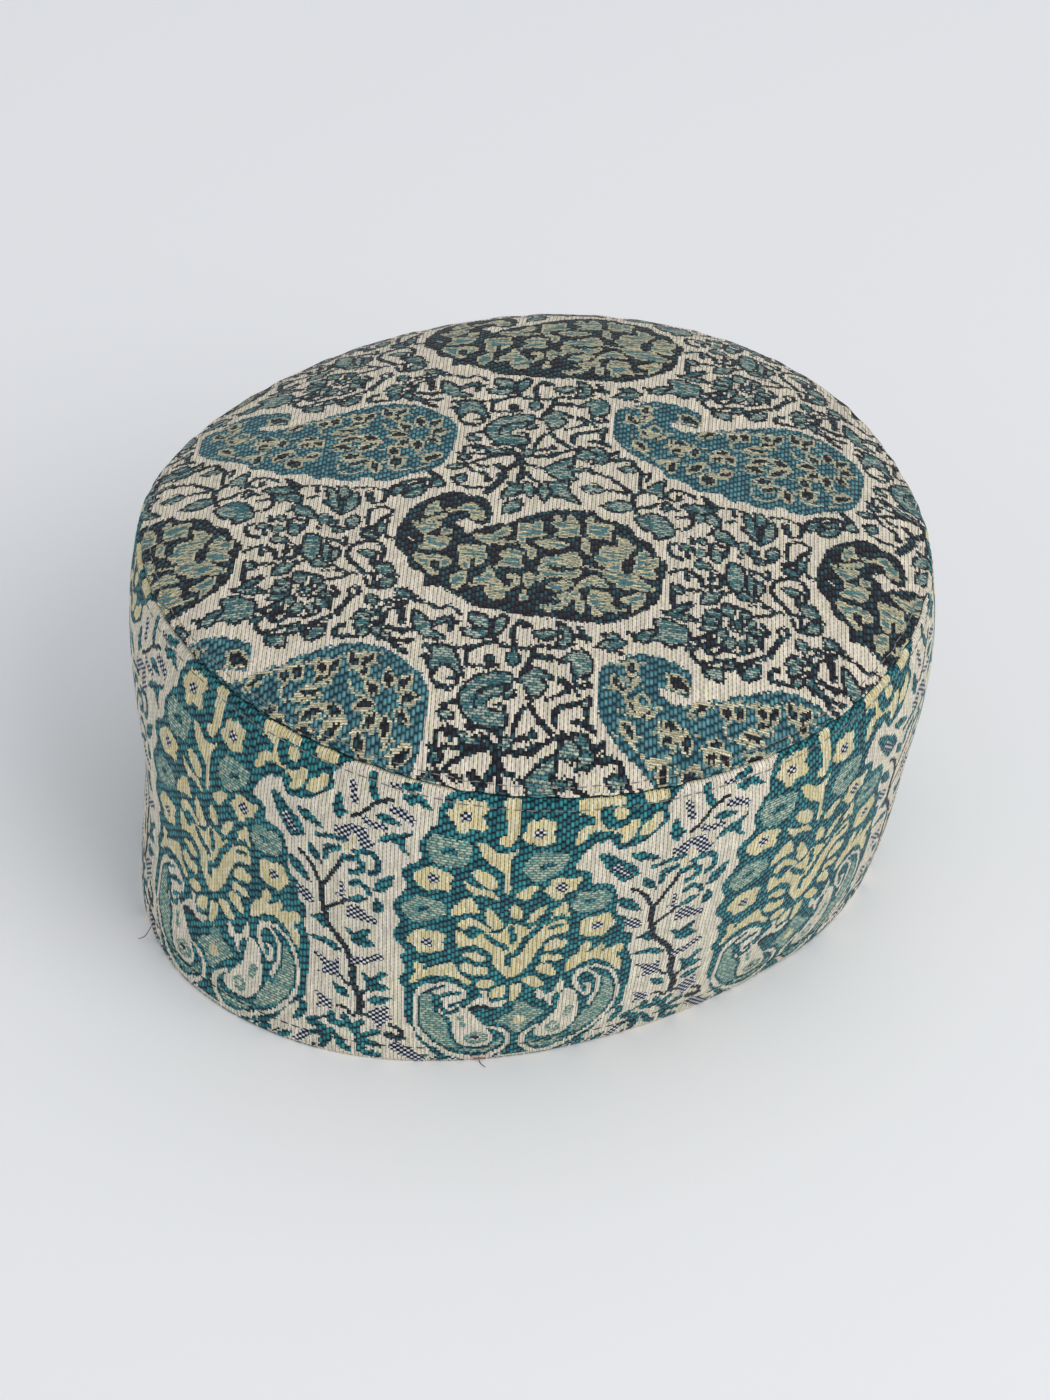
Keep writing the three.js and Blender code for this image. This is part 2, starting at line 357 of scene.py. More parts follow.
class Chart:
    """A repeat of the cloth. Its rows and columns are threads, and it wraps."""

    def __init__(self, repeat, ragged, laid):
        self.laid = laid
        self.columns = round(repeat[0] / WARP)
        self.rows = round(repeat[1] / WEFT)
        self.step = np.array([repeat[0] / self.columns, repeat[1] / self.rows])
        self.label = np.full((self.rows, self.columns), CREAM, int)
        self.ragged = chance.uniform(-ragged, ragged, self.label.shape)

    def threads(self, column, row):
        return self.label[row % self.rows, column % self.columns]

    def window(self, points, margin):
        """The crossings round some points: their cells, and how far along and up each is."""
        low = np.floor((points.min(0) - margin) / self.step).astype(int)
        high = np.ceil((points.max(0) + margin) / self.step).astype(int)
        column, row = np.arange(low[0], high[0]), np.arange(low[1], high[1])
        cells = np.ix_(row % self.rows, column % self.columns)
        x, y = np.meshgrid((column + 0.5) * self.step[0], (row + 0.5) * self.step[1])
        return cells, x, y + self.ragged[cells]

    def paint(self, cells, inside, label):
        self.label[cells] = np.where(inside, label, self.label[cells])

    def stroke(self, points, width, label, closed=False):
        """A line of yarn along a smooth curve."""
        line = smooth(self.laid(np.array(points, float)), closed, LINE_STEPS)
        if closed:
            line = np.vstack([line, line[:1]])
        cells, x, y = self.window(line, width)
        inside = np.zeros(x.shape, bool)
        for (ax, ay), (dx, dy) in zip(line, np.diff(line, axis=0)):
            t = np.clip(((x - ax) * dx + (y - ay) * dy) / max(dx * dx + dy * dy, TINY), 0, 1)
            inside |= np.hypot(x - ax - t * dx, y - ay - t * dy) < width / 2
        self.paint(cells, inside, label)

    def fill(self, points, label):
        """The inside of a closed smooth curve."""
        line = smooth(self.laid(np.array(points, float)), True, FILL_STEPS)
        cells, x, y = self.window(line, MARGIN)
        inside = np.zeros(x.shape, bool)
        for (ax, ay), (bx, by) in zip(line, np.roll(line, -1, 0)):
            if ay != by:
                inside ^= ((ay > y) != (by > y)) & (x < (bx - ax) * (y - ay) / (by - ay) + ax)
        self.paint(cells, inside, label)

    def leaf(self, x0, y0, x1, y1, width, body=LEAF, edge=INK, rim=LEAF_RIM):
        """A pointed leaf from its foot to its tip, with a rim of another yarn."""
        foot, tip = self.laid(np.array([[x0, y0], [x1, y1]], float))
        length = np.hypot(*(tip - foot))
        along = (tip - foot) / length
        cells, x, y = self.window(np.array([foot, tip]), width)
        s = ((x - foot[0]) * along[0] + (y - foot[1]) * along[1]) / length
        d = np.abs((x - foot[0]) * along[1] - (y - foot[1]) * along[0])
        half = width / 2 * np.sin(np.pi * np.clip(s, 0, 1) ** LEAF_FULLNESS) + SLACK
        self.paint(cells, (s > LEAF_ENDS[0]) & (s < LEAF_ENDS[1]) & (d < half), edge)
        self.paint(cells, (s > BODY_ENDS[0]) & (s < BODY_ENDS[1]) & (d < half - rim), body)

    def dot(self, x0, y0, radius, label):
        middle = self.laid(np.array([[x0, y0]], float))
        cells, x, y = self.window(middle, radius + MARGIN)
        self.paint(cells, np.hypot(x - middle[0, 0], y - middle[0, 1]) < radius, label)

    def curl(self, x0, y0, radius, width, label):
        """A spiral that winds in once round from its top."""
        t = np.linspace(0, 1, CURL_STEPS)
        way = np.radians(90 + 360 * t)
        reach = radius * (1 - CURL_IN * t)
        self.stroke(np.stack([x0 + reach * np.cos(way), y0 + reach * np.sin(way)], -1), width, label)

    def fill_all(self, patches):
        """Patches in rows of a label and the outlines that have it."""
        for label, outlines in patches:
            for corners in outlines:
                self.fill(corners, label)

    def stroke_all(self, lines):
        """Lines in rows of a label and the (width, points) of each line."""
        for label, rows in lines:
            for width, points in rows:
                self.stroke(points, width, label)


def spoke(x, y, way, near, far):
    """The ends of a line that points from a place one way, so near and so far."""
    across, up = math.cos(way), math.sin(way)
    return x + near * across, y + near * up, x + far * across, y + far * up


# The crown's repeat, in millimetres of its plan along the grain. Rows of dark and
# of teal paisleys take turns, with black vines and leaves on cream between them.

DARK_PAISLEY = [
    (-13.6, -9.6), (-12.4, -5.5), (-13.3, -1), (-15, 1.8), (-19.5, 2.6), (-21.5, 4), (-25, 3), (-29, 0),
    (-33, -4), (-34.5, -8.5), (-35.7, -12), (-36.4, -16.5), (-35.6, -21), (-33, -24.5), (-32, -28.4),
    (-28.4, -31), (-28, -35.5), (-24, -35.4), (-21.5, -37.6), (-18, -39.9), (-15.5, -42.4), (-10, -43.5),
    (-4, -44.5), (1, -45), (8, -45.6), (14, -46.2), (18.4, -45.6), (23, -43.2), (28, -38.8), (30.4, -35),
    (31.2, -27), (32, -22), (29.4, -18.4), (27.5, -13.8), (24, -11.8), (22.4, -8), (18.5, -6), (14.3, -4.4),
    (13, -2.2), (9, -2), (4, -1.8), (0.5, -3.2), (-5.5, -6), (-8, -8.3), (-12.5, -9.4), (-15.5, -11.5),
]
TEAL_PAISLEY = [
    (17.2, 39.5), (19.5, 42), (22, 42.6), (24.6, 44.5), (29, 44.9), (33, 43.9), (38.4, 41), (39.5, 37.5),
    (38.6, 33.6), (42, 33), (46, 33.8), (55, 36), (63.5, 36.9), (71, 34), (76, 29.9), (79.5, 27),
    (81.6, 22), (81.2, 16.5), (80, 10.2), (77, 5.6), (72, 3.8), (66, 1.3), (62.8, 1.6), (60, 3.6),
    (57.5, 2.1), (54, 2.6), (50.5, 4.3), (47.4, 4.2), (45, 6.8), (38.6, 8), (36, 10.8), (31, 12.8),
    (29.6, 16), (24.8, 19.3), (20, 24), (17.2, 28.6), (16.7, 33),
]
NOTCHES = [
    [(-21.4, -9.6), (-20.5, -8.4), (-19, -7.7), (-17.4, -8.4), (-15.8, -9.8), (-13.6, -9.4), (-12.6, -8.8),
     (-13.4, -10), (-15.6, -11.4), (-17.4, -12.6), (-18.4, -13.8), (-19.4, -11.6)],
    [(31, 36), (33, 35.6), (36, 34.3), (38.8, 33.6), (40.5, 33), (38, 32.3), (34.6, 32.4), (32.6, 33.8)],
]
PALE_SIZE = 0.93  # of the patches below, which leaves room for their yellow rims
PALE_RIM = 0.55
PALE_LEAVES = [
    [(-29.3, -6.5), (-29, -3.5), (-27.5, -1.5), (-26.2, -0.7), (-26, -3), (-25.5, -4.3), (-27, -5.5),
     (-28.4, -7.2)],
    [(-25.6, -4.2), (-22, -3.4), (-20.4, -2.6), (-19.4, -1.2), (-18, -0.7), (-16.8, -1.5), (-16.2, -3),
     (-14.8, -4), (-14.2, -6), (-14.4, -7.3), (-17.2, -7.2), (-17.8, -5.5), (-18.8, -4.2), (-22, -4.3)],
    [(-30, -8.9), (-28.5, -8.3), (-26.4, -7.2), (-24.2, -5.9), (-24, -7), (-25.6, -8.4), (-29, -9.6)],
    [(-32.7, -9.4), (-30, -10.4), (-27.5, -9.9), (-25, -9.4), (-25.5, -11), (-27, -12.6), (-28, -14.2),
     (-29.5, -14.3), (-31.6, -11.6)],
    [(-24.8, -12.5), (-23.8, -11.8), (-22.4, -12.2), (-22.3, -13.6), (-23.3, -14.8), (-24.6, -14)],
    [(-29.2, -15), (-26.5, -15.4), (-22.2, -15.5), (-22.5, -17), (-24, -20.4), (-26, -20.6), (-30.4, -20.4),
     (-28.7, -17.6)],
    [(-31.4, -23), (-30, -22.2), (-28, -23.3), (-24.5, -23), (-22.5, -23.4), (-21.9, -25.6), (-23, -27.6),
     (-24.4, -27.7), (-24.2, -25), (-26.6, -24.8), (-27.4, -27), (-26.2, -29.4), (-24.4, -30.6),
     (-26.4, -30.6), (-28.6, -28), (-30.8, -25)],
    [(-20.6, -19), (-19, -18.2), (-13.8, -18.4), (-13.8, -20), (-12.9, -22), (-14, -25), (-15.4, -26.2),
     (-15.8, -24.2), (-17.4, -24.4), (-17.3, -27.5), (-18.6, -28), (-19.6, -26.5), (-19.9, -22)],
    [(-18, -28.6), (-18, -33.4), (-18.8, -34.9), (-20, -36), (-21.1, -35), (-21.8, -30.8), (-20.3, -30.4)],
    [(-17.4, -34.4), (-16, -33), (-16, -31), (-14.3, -30.3), (-13.2, -28.6), (-12.3, -26.3), (-11.3, -28),
     (-10.9, -30), (-9.4, -32), (-8, -34), (-6, -34.4), (-7.6, -36.6), (-7.9, -38.6), (-9.5, -39.2),
     (-11.4, -39), (-12.8, -36.6), (-12.3, -33.4), (-14.4, -33.6)],
    [(-8, -29.9), (-6, -29.2), (-4.5, -30), (-4.3, -31.6), (-5, -33.4), (-6.6, -34), (-5.8, -32.2),
     (-6.2, -30.8)],
    [(-3.2, -28.5), (-1, -29), (1.2, -29.4), (0.6, -31), (-1.2, -31.6), (-2.6, -34.6), (-3.4, -32)],
    [(-4.3, -37), (-3.2, -35.2), (-2.5, -37), (-2.8, -39.2), (-4.1, -39)],
    [(-9.8, -20.6), (-8, -19.2), (-4.2, -19.5), (-4.3, -23.5), (-4, -25.9), (-8.5, -26), (-11.2, -26.9),
     (-9.4, -24), (-9, -22)],
    [(-17.4, -14), (-16, -13.4), (-14, -14.2), (-12, -13.4), (-10.4, -11.6), (-9, -9.9), (-7.6, -9.6),
     (-7.6, -12.2), (-10.2, -14.4), (-10.8, -15.6), (-6, -16.4), (-9, -16.9), (-13, -17.4), (-15.6, -16)],
    [(-5.6, -8), (-3, -8), (-1, -7), (0.5, -7.2), (0.4, -10.6), (1.8, -12), (0.4, -13.3), (-3.5, -13.9),
     (-4, -15.6), (-3.2, -17.6), (-0.8, -19.8), (-1.9, -23.2), (-2.8, -21.4), (-2.8, -19.4), (-4.6, -17.6),
     (-5.7, -15)],
    [(-1.4, -15.6), (0.5, -14.8), (2.2, -14.2), (4.5, -15.2), (7.1, -16.3), (6.4, -17.4), (2, -18),
     (0.2, -17.2)],
    [(2.2, -7.4), (3.6, -6.8), (3, -4.8), (3.9, -4.6), (5, -6.6), (6.6, -6.4), (6.9, -4.4), (7.8, -4.6),
     (9.4, -7.6), (9.6, -11.4), (10.2, -12.4), (5.5, -13.6), (3.4, -13), (4.7, -10.6), (3.6, -9)],
    [(10.8, -7), (11.3, -5.4), (12.4, -4.5), (13.2, -6.6), (16, -7), (18.4, -8.5), (17.3, -9.9),
     (17.8, -13.4), (12, -13), (11, -12.2), (11.7, -10.4)],
    [(10.4, -13), (10.8, -15), (10.3, -17), (11.4, -18.8), (12.6, -20), (12.1, -17.5), (11.8, -13.6)],
    [(13.2, -20.6), (15, -19), (14.6, -17.2), (16.2, -16), (19, -16.3), (19.6, -14.4), (19.2, -11),
     (20.4, -12.7), (21.9, -12.7), (22.6, -14.6), (24.4, -15.4), (22.8, -17.6), (21.9, -21), (20.2, -22.2),
     (20.3, -25.6), (16, -24.6), (14.6, -23)],
    [(24, -22), (23.8, -20), (25.5, -17.2), (27, -17.4), (27, -19.2), (29.7, -20.2), (29.5, -22.6),
     (28.1, -23.6), (29.4, -27), (28, -27.9), (26, -27.8), (23.1, -25)],
    [(15.8, -26.5), (17, -25.2), (22, -25.8), (24, -27), (28, -30.6), (29.4, -31.9), (27.5, -32.7),
     (20.4, -31.9), (18.8, -29.9), (16.6, -28.4)],
    [(0.4, -22.8), (1.4, -21.6), (5, -20.6), (6.8, -20.4), (7.2, -18.9), (8.3, -18.5), (9.4, -19.4),
     (11, -23.4), (9, -24.8), (5, -25.2), (1, -24.2)],
    [(-0.6, -25.5), (0.8, -24.7), (3.8, -27.2), (7, -26.8), (10.9, -25.9), (10.5, -27.6), (7.4, -29.9),
     (5.6, -29.2), (1.3, -29.3), (0.2, -28)],
    [(12.8, -28.6), (14, -27.8), (16.3, -29.7), (17.6, -32.1), (13.8, -31.6), (10.8, -32.4), (9.4, -34.4),
     (8.4, -34.4), (10.2, -31.4)],
    [(2.2, -32.8), (4.2, -31), (6.5, -30.7), (9, -31.2), (7, -33.5), (5.2, -34.4), (3, -34.1)],
    [(4.2, -37.1), (5.2, -35.9), (8, -34.8), (10.5, -34.4), (10.8, -36.6), (8, -37.2), (7.9, -39),
     (5.6, -41.7), (3.4, -42.4), (1.4, -42), (0.7, -40.6), (3.6, -40.8), (6.2, -39.4), (6.4, -37.4)],
    [(9.8, -38.2), (11.3, -38), (11.6, -40), (11.2, -42.6), (10.2, -42)],
    [(13, -34), (14.5, -33.1), (18, -35), (18.9, -36.6), (18, -38.2), (20, -40.4), (22.6, -40.6),
     (19, -41.4), (16.6, -41.2), (12.6, -38.6)],
    [(13.7, -40.4), (15, -41), (16.1, -42.6), (15, -43.1), (13.8, -42)],
    [(20.2, -36.8), (23.5, -34.7), (25.4, -33.7), (27.1, -34.2), (25.8, -37.9), (24.4, -40.3),
     (23.4, -40.4), (24, -38.4), (22.2, -37.2)],
]

# label, then the width and the points of each line
PAISLEY_LINES = [
    (CREAM, [(0.8, [(-33, -16.4), (-31.6, -17.4)])]),
    (INK, [
        (1.1, [(-16.6, -24), (-16.4, -27.6)]), (1, [(2.8, -24.9), (4, -26.5), (6.4, -27.1)]),
        (2.4, [(22, -22.2), (22, -25.6)]), (2.2, [(13.8, -15.8), (13.8, -18.8)]),
        (1.6, [(10.7, -7.4), (10.9, -12.2)]),
    ]),
    (YELLOW, [
        (0.6, [(10.5, -24.2), (13.5, -25.3), (15.6, -26)]), (0.6, [(24, -22.5), (28.5, -23.3)]),
        (0.7, [(22, 27.4), (24, 24), (27, 20.8), (30, 19.6), (33.6, 20.6), (35, 22.4)]),
        (0.7, [(40.4, 19.6), (42.4, 15.6), (44, 13.6), (46.8, 14), (47.6, 16.2), (45.6, 17.4)]),
        (0.7, [(47, 28), (47.6, 26), (50, 25.4), (52.6, 27.4)]),
        (0.7, [(52.6, 10), (53, 7), (56, 5.5), (59, 6.6), (60, 9.4)]),
        (0.7, [(65, 7.4), (68, 5.8), (71.4, 6), (74.6, 7)]), (0.7, [(71.6, 12), (74, 13.4), (77, 12)]),
        (0.7, [(31.2, 28.4), (31.2, 26)]), (0.7, [(62.6, 27.4), (64, 24.6), (66, 23.6)]),
        (0.7, [(23.6, 34.4), (23.6, 31.6), (25.4, 29)]),
    ]),
]

# the middle of a seed, the way that it points in degrees, its length and width
SEEDS = [
    (36.3, 37.3, -40, 6.2, 4.2), (25, 41, 90, 3.4, 2.8), (21.6, 36.6, -55, 4.6, 2.8), (25.2, 38, 0, 2.6, 2),
    (25, 31, -55, 3.4, 2.2), (28.6, 29.6, 15, 3.4, 2.2), (24, 25.6, -45, 5, 2.8), (34.4, 27, -25, 4.2, 2.6),
    (33.7, 24.4, 25, 4.2, 2.8), (37.8, 24, 90, 4.4, 2.8), (32.2, 17.5, 80, 4.4, 2.8),
    (38.4, 17.3, 40, 5.4, 3), (41.5, 12.7, 110, 5.2, 4.2), (44, 21.6, 25, 3.8, 2.6),
    (47, 21.2, -55, 3.8, 2.6), (44.9, 24, 0, 3.2, 2.4), (41, 31.2, 30, 5, 2.6), (47.8, 31.2, 90, 3.8, 3.2),
    (50.7, 31.4, 80, 3.8, 3.2), (56.2, 31.6, 115, 3.8, 2.8), (59, 31.2, 60, 3.8, 2.8),
    (56.8, 28.6, 0, 3.4, 2.2), (63.6, 32.4, 105, 4.4, 3), (66.9, 31.8, 45, 4.2, 2.8),
    (66.3, 29.2, 90, 3, 2.4), (53.6, 26, -10, 4.8, 2.4), (54.8, 21.6, 15, 5, 3), (60, 21.2, -40, 5, 3),
    (53.6, 18, -30, 5, 3), (59.6, 17.3, 30, 5.8, 3), (55.6, 13.3, 0, 4.4, 3), (46, 15, 40, 4, 2.8),
    (66, 14.3, 110, 4.2, 3), (76, 10.3, 25, 5, 3.2), (66.9, 9.8, 100, 5, 4.2), (61.8, 8.2, 100, 5, 2.8),
    (57.8, 10.2, 10, 5.2, 2.8),
]
SEED_TRIM = (0.4, 1.4)  # how much shorter and thinner the dark seed is
PETAL = 1.55  # how much larger than its seed the yellow round it is
SEED_LINE = [(-3.6, 0.9), (0, 1.7), (3.4, 1.2)]  # the yellow line beside a seed, from its middle
SEED_LINE_WIDTH = 0.5
SEED_CURL = (28, 32.6, 2.3, 0.8)
BIG_FLOWER = (72, 21.3)
PETALS = 8
PETAL_ENDS = (2.6, 8)
PETAL_WIDTH, PETAL_RIM = 3.2, 0.75

# from the foot to the tip, then the width
LEAVES = [
    (-34.6, 6.6, -39.6, 0.8, 3.8), (-30, 7.4, -35.4, 0.2, 4.4), (-25.6, 8.8, -28.6, 4.6, 4),
    (-22.8, 18, -18.6, 18.2, 2.8), (-25.2, 13.8, -19.6, 15.2, 2.8), (-21.8, 7.2, -20.4, 11.8, 3.6),
    (-5, 8.4, -11, 1.2, 4.4), (-4.4, 9.2, -3, 2, 3.8), (0, 9.6, 0.3, 0.4, 4), (-5.4, 1.6, -10.4, -5.2, 4.6),
    (9.2, 7.6, 16.2, 6.4, 3.8), (24, 15.4, 18, 15.6, 3.4), (23.6, 0.2, 14.2, 0.2, 5.4),
    (30.6, 1.6, 30.9, -1.8, 2.4), (40.6, -0.4, 44.6, -6.4, 4.2), (39.8, -1, 39.6, -5.4, 3.6),
    (55, -4.8, 55, 0.6, 4.2), (66.6, -4.8, 70, -0.8, 3.4), (70, -6, 76, -1.6, 3.8),
    (42.8, -7, 49.4, -13.4, 4.6), (40.4, -15, 39.6, -19, 4), (44, -14.4, 44.4, -21, 4.2),
    (41.8, -13.4, 39, -10.8, 2.8), (34.2, -14.6, 38.6, -15.4, 2.8), (51.4, -11.2, 50.8, -16.6, 4),
    (52.2, -17.2, 54.6, -14.4, 2.4), (53, -18.4, 57.6, -18.6, 2.6), (58.6, -12.4, 57.8, -18.6, 4),
    (60.2, -20.4, 66, -21.8, 2.8), (65.4, -15.4, 65.4, -21.4, 3.2), (38.2, -20.2, 43.8, -23, 3.4),
    (52.6, -23, 53.2, -32.4, 3.2), (55.6, -25.4, 54.6, -32, 3), (48.8, -30, 54.4, -33.6, 3.4),
    (33, -29.2, 36.8, -33, 3), (40.6, -35.8, 45.8, -30.6, 4.6), (60.2, -27.4, 66.6, -28.8, 3.2),
    (65.2, -32.4, 70.8, -36.2, 4.8), (70.6, -36.8, 66.6, -42, 4.2), (46, -35.4, 48.8, -40, 4.6),
    (50, -37.4, 53.6, -39.6, 3.4), (41.8, -37.4, 46.2, -41.4, 4.2), (40.6, -40.6, 46, -42.6, 3.4),
    (39.8, -44.8, 47, -43.6, 3), (44.8, -44.4, 47.4, -47.2, 3.6), (50.2, -40, 50, -44.4, 3),
    (53.4, -39.6, 53, -43.6, 3), (52, -43.6, 57.2, -43.8, 2.6), (52.2, -44.8, 55.4, -49, 3.8),
    (48.2, -46.2, 48, -51.2, 4), (50.8, -46.4, 51.8, -51, 3.4), (64.6, -43.4, 67, -48, 3.4),
    (70.8, -41.4, 76.4, -44.8, 3.4), (30.6, -39.6, 41.4, -42.6, 2.6), (33.2, -39.6, 39.2, -36, 2.8),
    (37, -52.4, 40.6, -51, 2.4), (47, -54, 50.6, -55.6, 2.4), (61.4, -52.6, 68.2, -49.4, 4),
    (62.8, -55.6, 66.4, -50.8, 3.6), (-39.4, -51.2, -37.6, -55.6, 3), (23, -51.6, 14.8, -54.6, 4.2),
    (21.4, -51, 16.4, -49.8, 3), (24.2, -51.4, 31.4, -46.4, 4), (-4.8, -57.6, -4.8, -64.4, 3.8),
    (-18, -80.4, -22.4, -79.4, 3), (13.2, -75.8, 13.8, -71.4, 2.8), (6.6, -88.4, 16.6, -85.4, 5),
    (51.4, -59.6, 56.2, -54.2, 4), (63.6, -58.6, 67, -54.8, 3), (69.2, -56.4, 72, -59.2, 2.6),
    (46, -56.8, 50.4, -55.2, 2.8), (16.2, -86.8, 11.8, -92.6, 3.8), (10.4, -82.4, 16, -87.2, 3.8),
    (-3, -86, -8.2, -88.8, 3.2),
]

# label, then the corners of each leaf or blot with a black edge
LOBED_LEAVES = [
    (LEAF, [
        [(1.2, 9), (6, 9.4), (6.4, 6), (9.4, 0.8), (5.4, 2.4), (2.4, 4)],
        [(0, 14.8), (2.4, 17.4), (6.8, 19.8), (7.2, 17), (5.8, 15.6), (11.2, 15.4), (11, 14), (7, 13.6),
         (8.2, 10.2), (3.6, 10.6), (1.2, 12.4)],
        [(25.2, 6.6), (28.4, 10.2), (30.8, 11.4), (30.2, 8), (30, 4), (28, 5.6)],
    ]),
    (INK, [
        [(40.4, 5.2), (42.8, 3.2), (44.2, 1.4), (43.2, -0.2), (42.2, 0.4), (41.4, 2.4)],
    ]),
    (LEAF, [
        [(35, 1.6), (37.6, 2.2), (40.6, 1.8), (42.8, 0.2), (41, -1.4), (38, -0.8), (36, 0)],
        [(23.6, -4.4), (27, -2.4), (29.8, -2.8), (32.2, -5.4), (33.6, -9.6), (31, -11.8), (29, -12.6),
         (28, -9.8), (25.2, -8.2)],
        [(50.6, -0.8), (52.8, -1.4), (53.8, -4.6), (54.6, -11.4), (51.4, -7.6), (50.2, -6.4), (51.4, -4.6)],
        [(55.4, -11.6), (55.8, -6), (57.6, -3), (58.8, -3.8), (59, -8), (57.6, -10.6)],
        [(47.2, -20.6), (49.4, -19.8), (51.2, -23), (51.6, -27), (50.2, -30.2), (48, -29.6), (46.6, -26)],
        [(28.4, -50.2), (30, -47), (29, -43), (33, -42.6), (37.2, -45), (38.2, -48), (36.6, -50.8),
         (33.2, -52.2), (31.4, -50.8)],
        [(41.8, -58), (43.6, -57.4), (45.8, -57.6), (46.8, -59.4), (46.4, -61.4), (44, -60.8), (42, -60)],
        [(-29.8, -45.2), (-27, -47.4), (-25.4, -49.4), (-20.8, -46.4), (-20.6, -48.4), (-24.8, -50.6),
         (-24.4, -52.6), (-21.8, -55.2), (-26, -55.4), (-28.6, -53), (-30, -50)],
        [(-16.2, -45.2), (-13.4, -45.2), (-11.2, -47.2), (-10.8, -49.8), (-14, -50.4), (-16, -48.4)],
        [(-10.2, -47.4), (-8, -45.4), (-6.6, -45.8), (-7.2, -49.6), (-9.6, -52.6)],
        [(-18.2, -51.6), (-14, -50.8), (-10.8, -51.6), (-11.4, -53.8), (-15, -54.4)],
        [(-0.4, -50.4), (2.4, -49.8), (5, -50.2), (5.8, -52), (3, -53.4), (0.4, -52.6)],
        [(5.2, -47), (7.4, -47.4), (9.2, -50), (9.4, -53), (7, -55.6), (5.4, -54.4), (7, -51.6),
         (6, -49.4)],
        [(-24.8, -58.4), (-20.5, -58.2), (-18.6, -61), (-17.4, -64.6), (-16.4, -67.8), (-18.6, -67),
         (-19.8, -64.8), (-21.6, -64.4), (-24.4, -66.2), (-25.6, -63.6), (-24.6, -61.4)],
        [(6, -60.8), (8, -58.4), (11, -56.2), (13.4, -57.2), (14.6, -60), (14.4, -63.6), (11.6, -65.4),
         (9.6, -63.6), (9.2, -60.8)],
        [(-1.6, -65.2), (0.2, -63.4), (2.8, -64.4), (5.2, -66.8), (2.8, -67.4), (3.8, -69.6), (2.4, -72),
         (0.6, -73.8), (-1, -71.4), (-1.6, -69.6), (-3.2, -68.4), (-2.8, -66.6)],
        [(-17.4, -84.8), (-14.6, -85.4), (-12, -86.4), (-9.6, -85.2), (-10, -87), (-12.6, -88.8),
         (-15.4, -87.8)],
    ]),
]
LOBE_RIM = 0.95

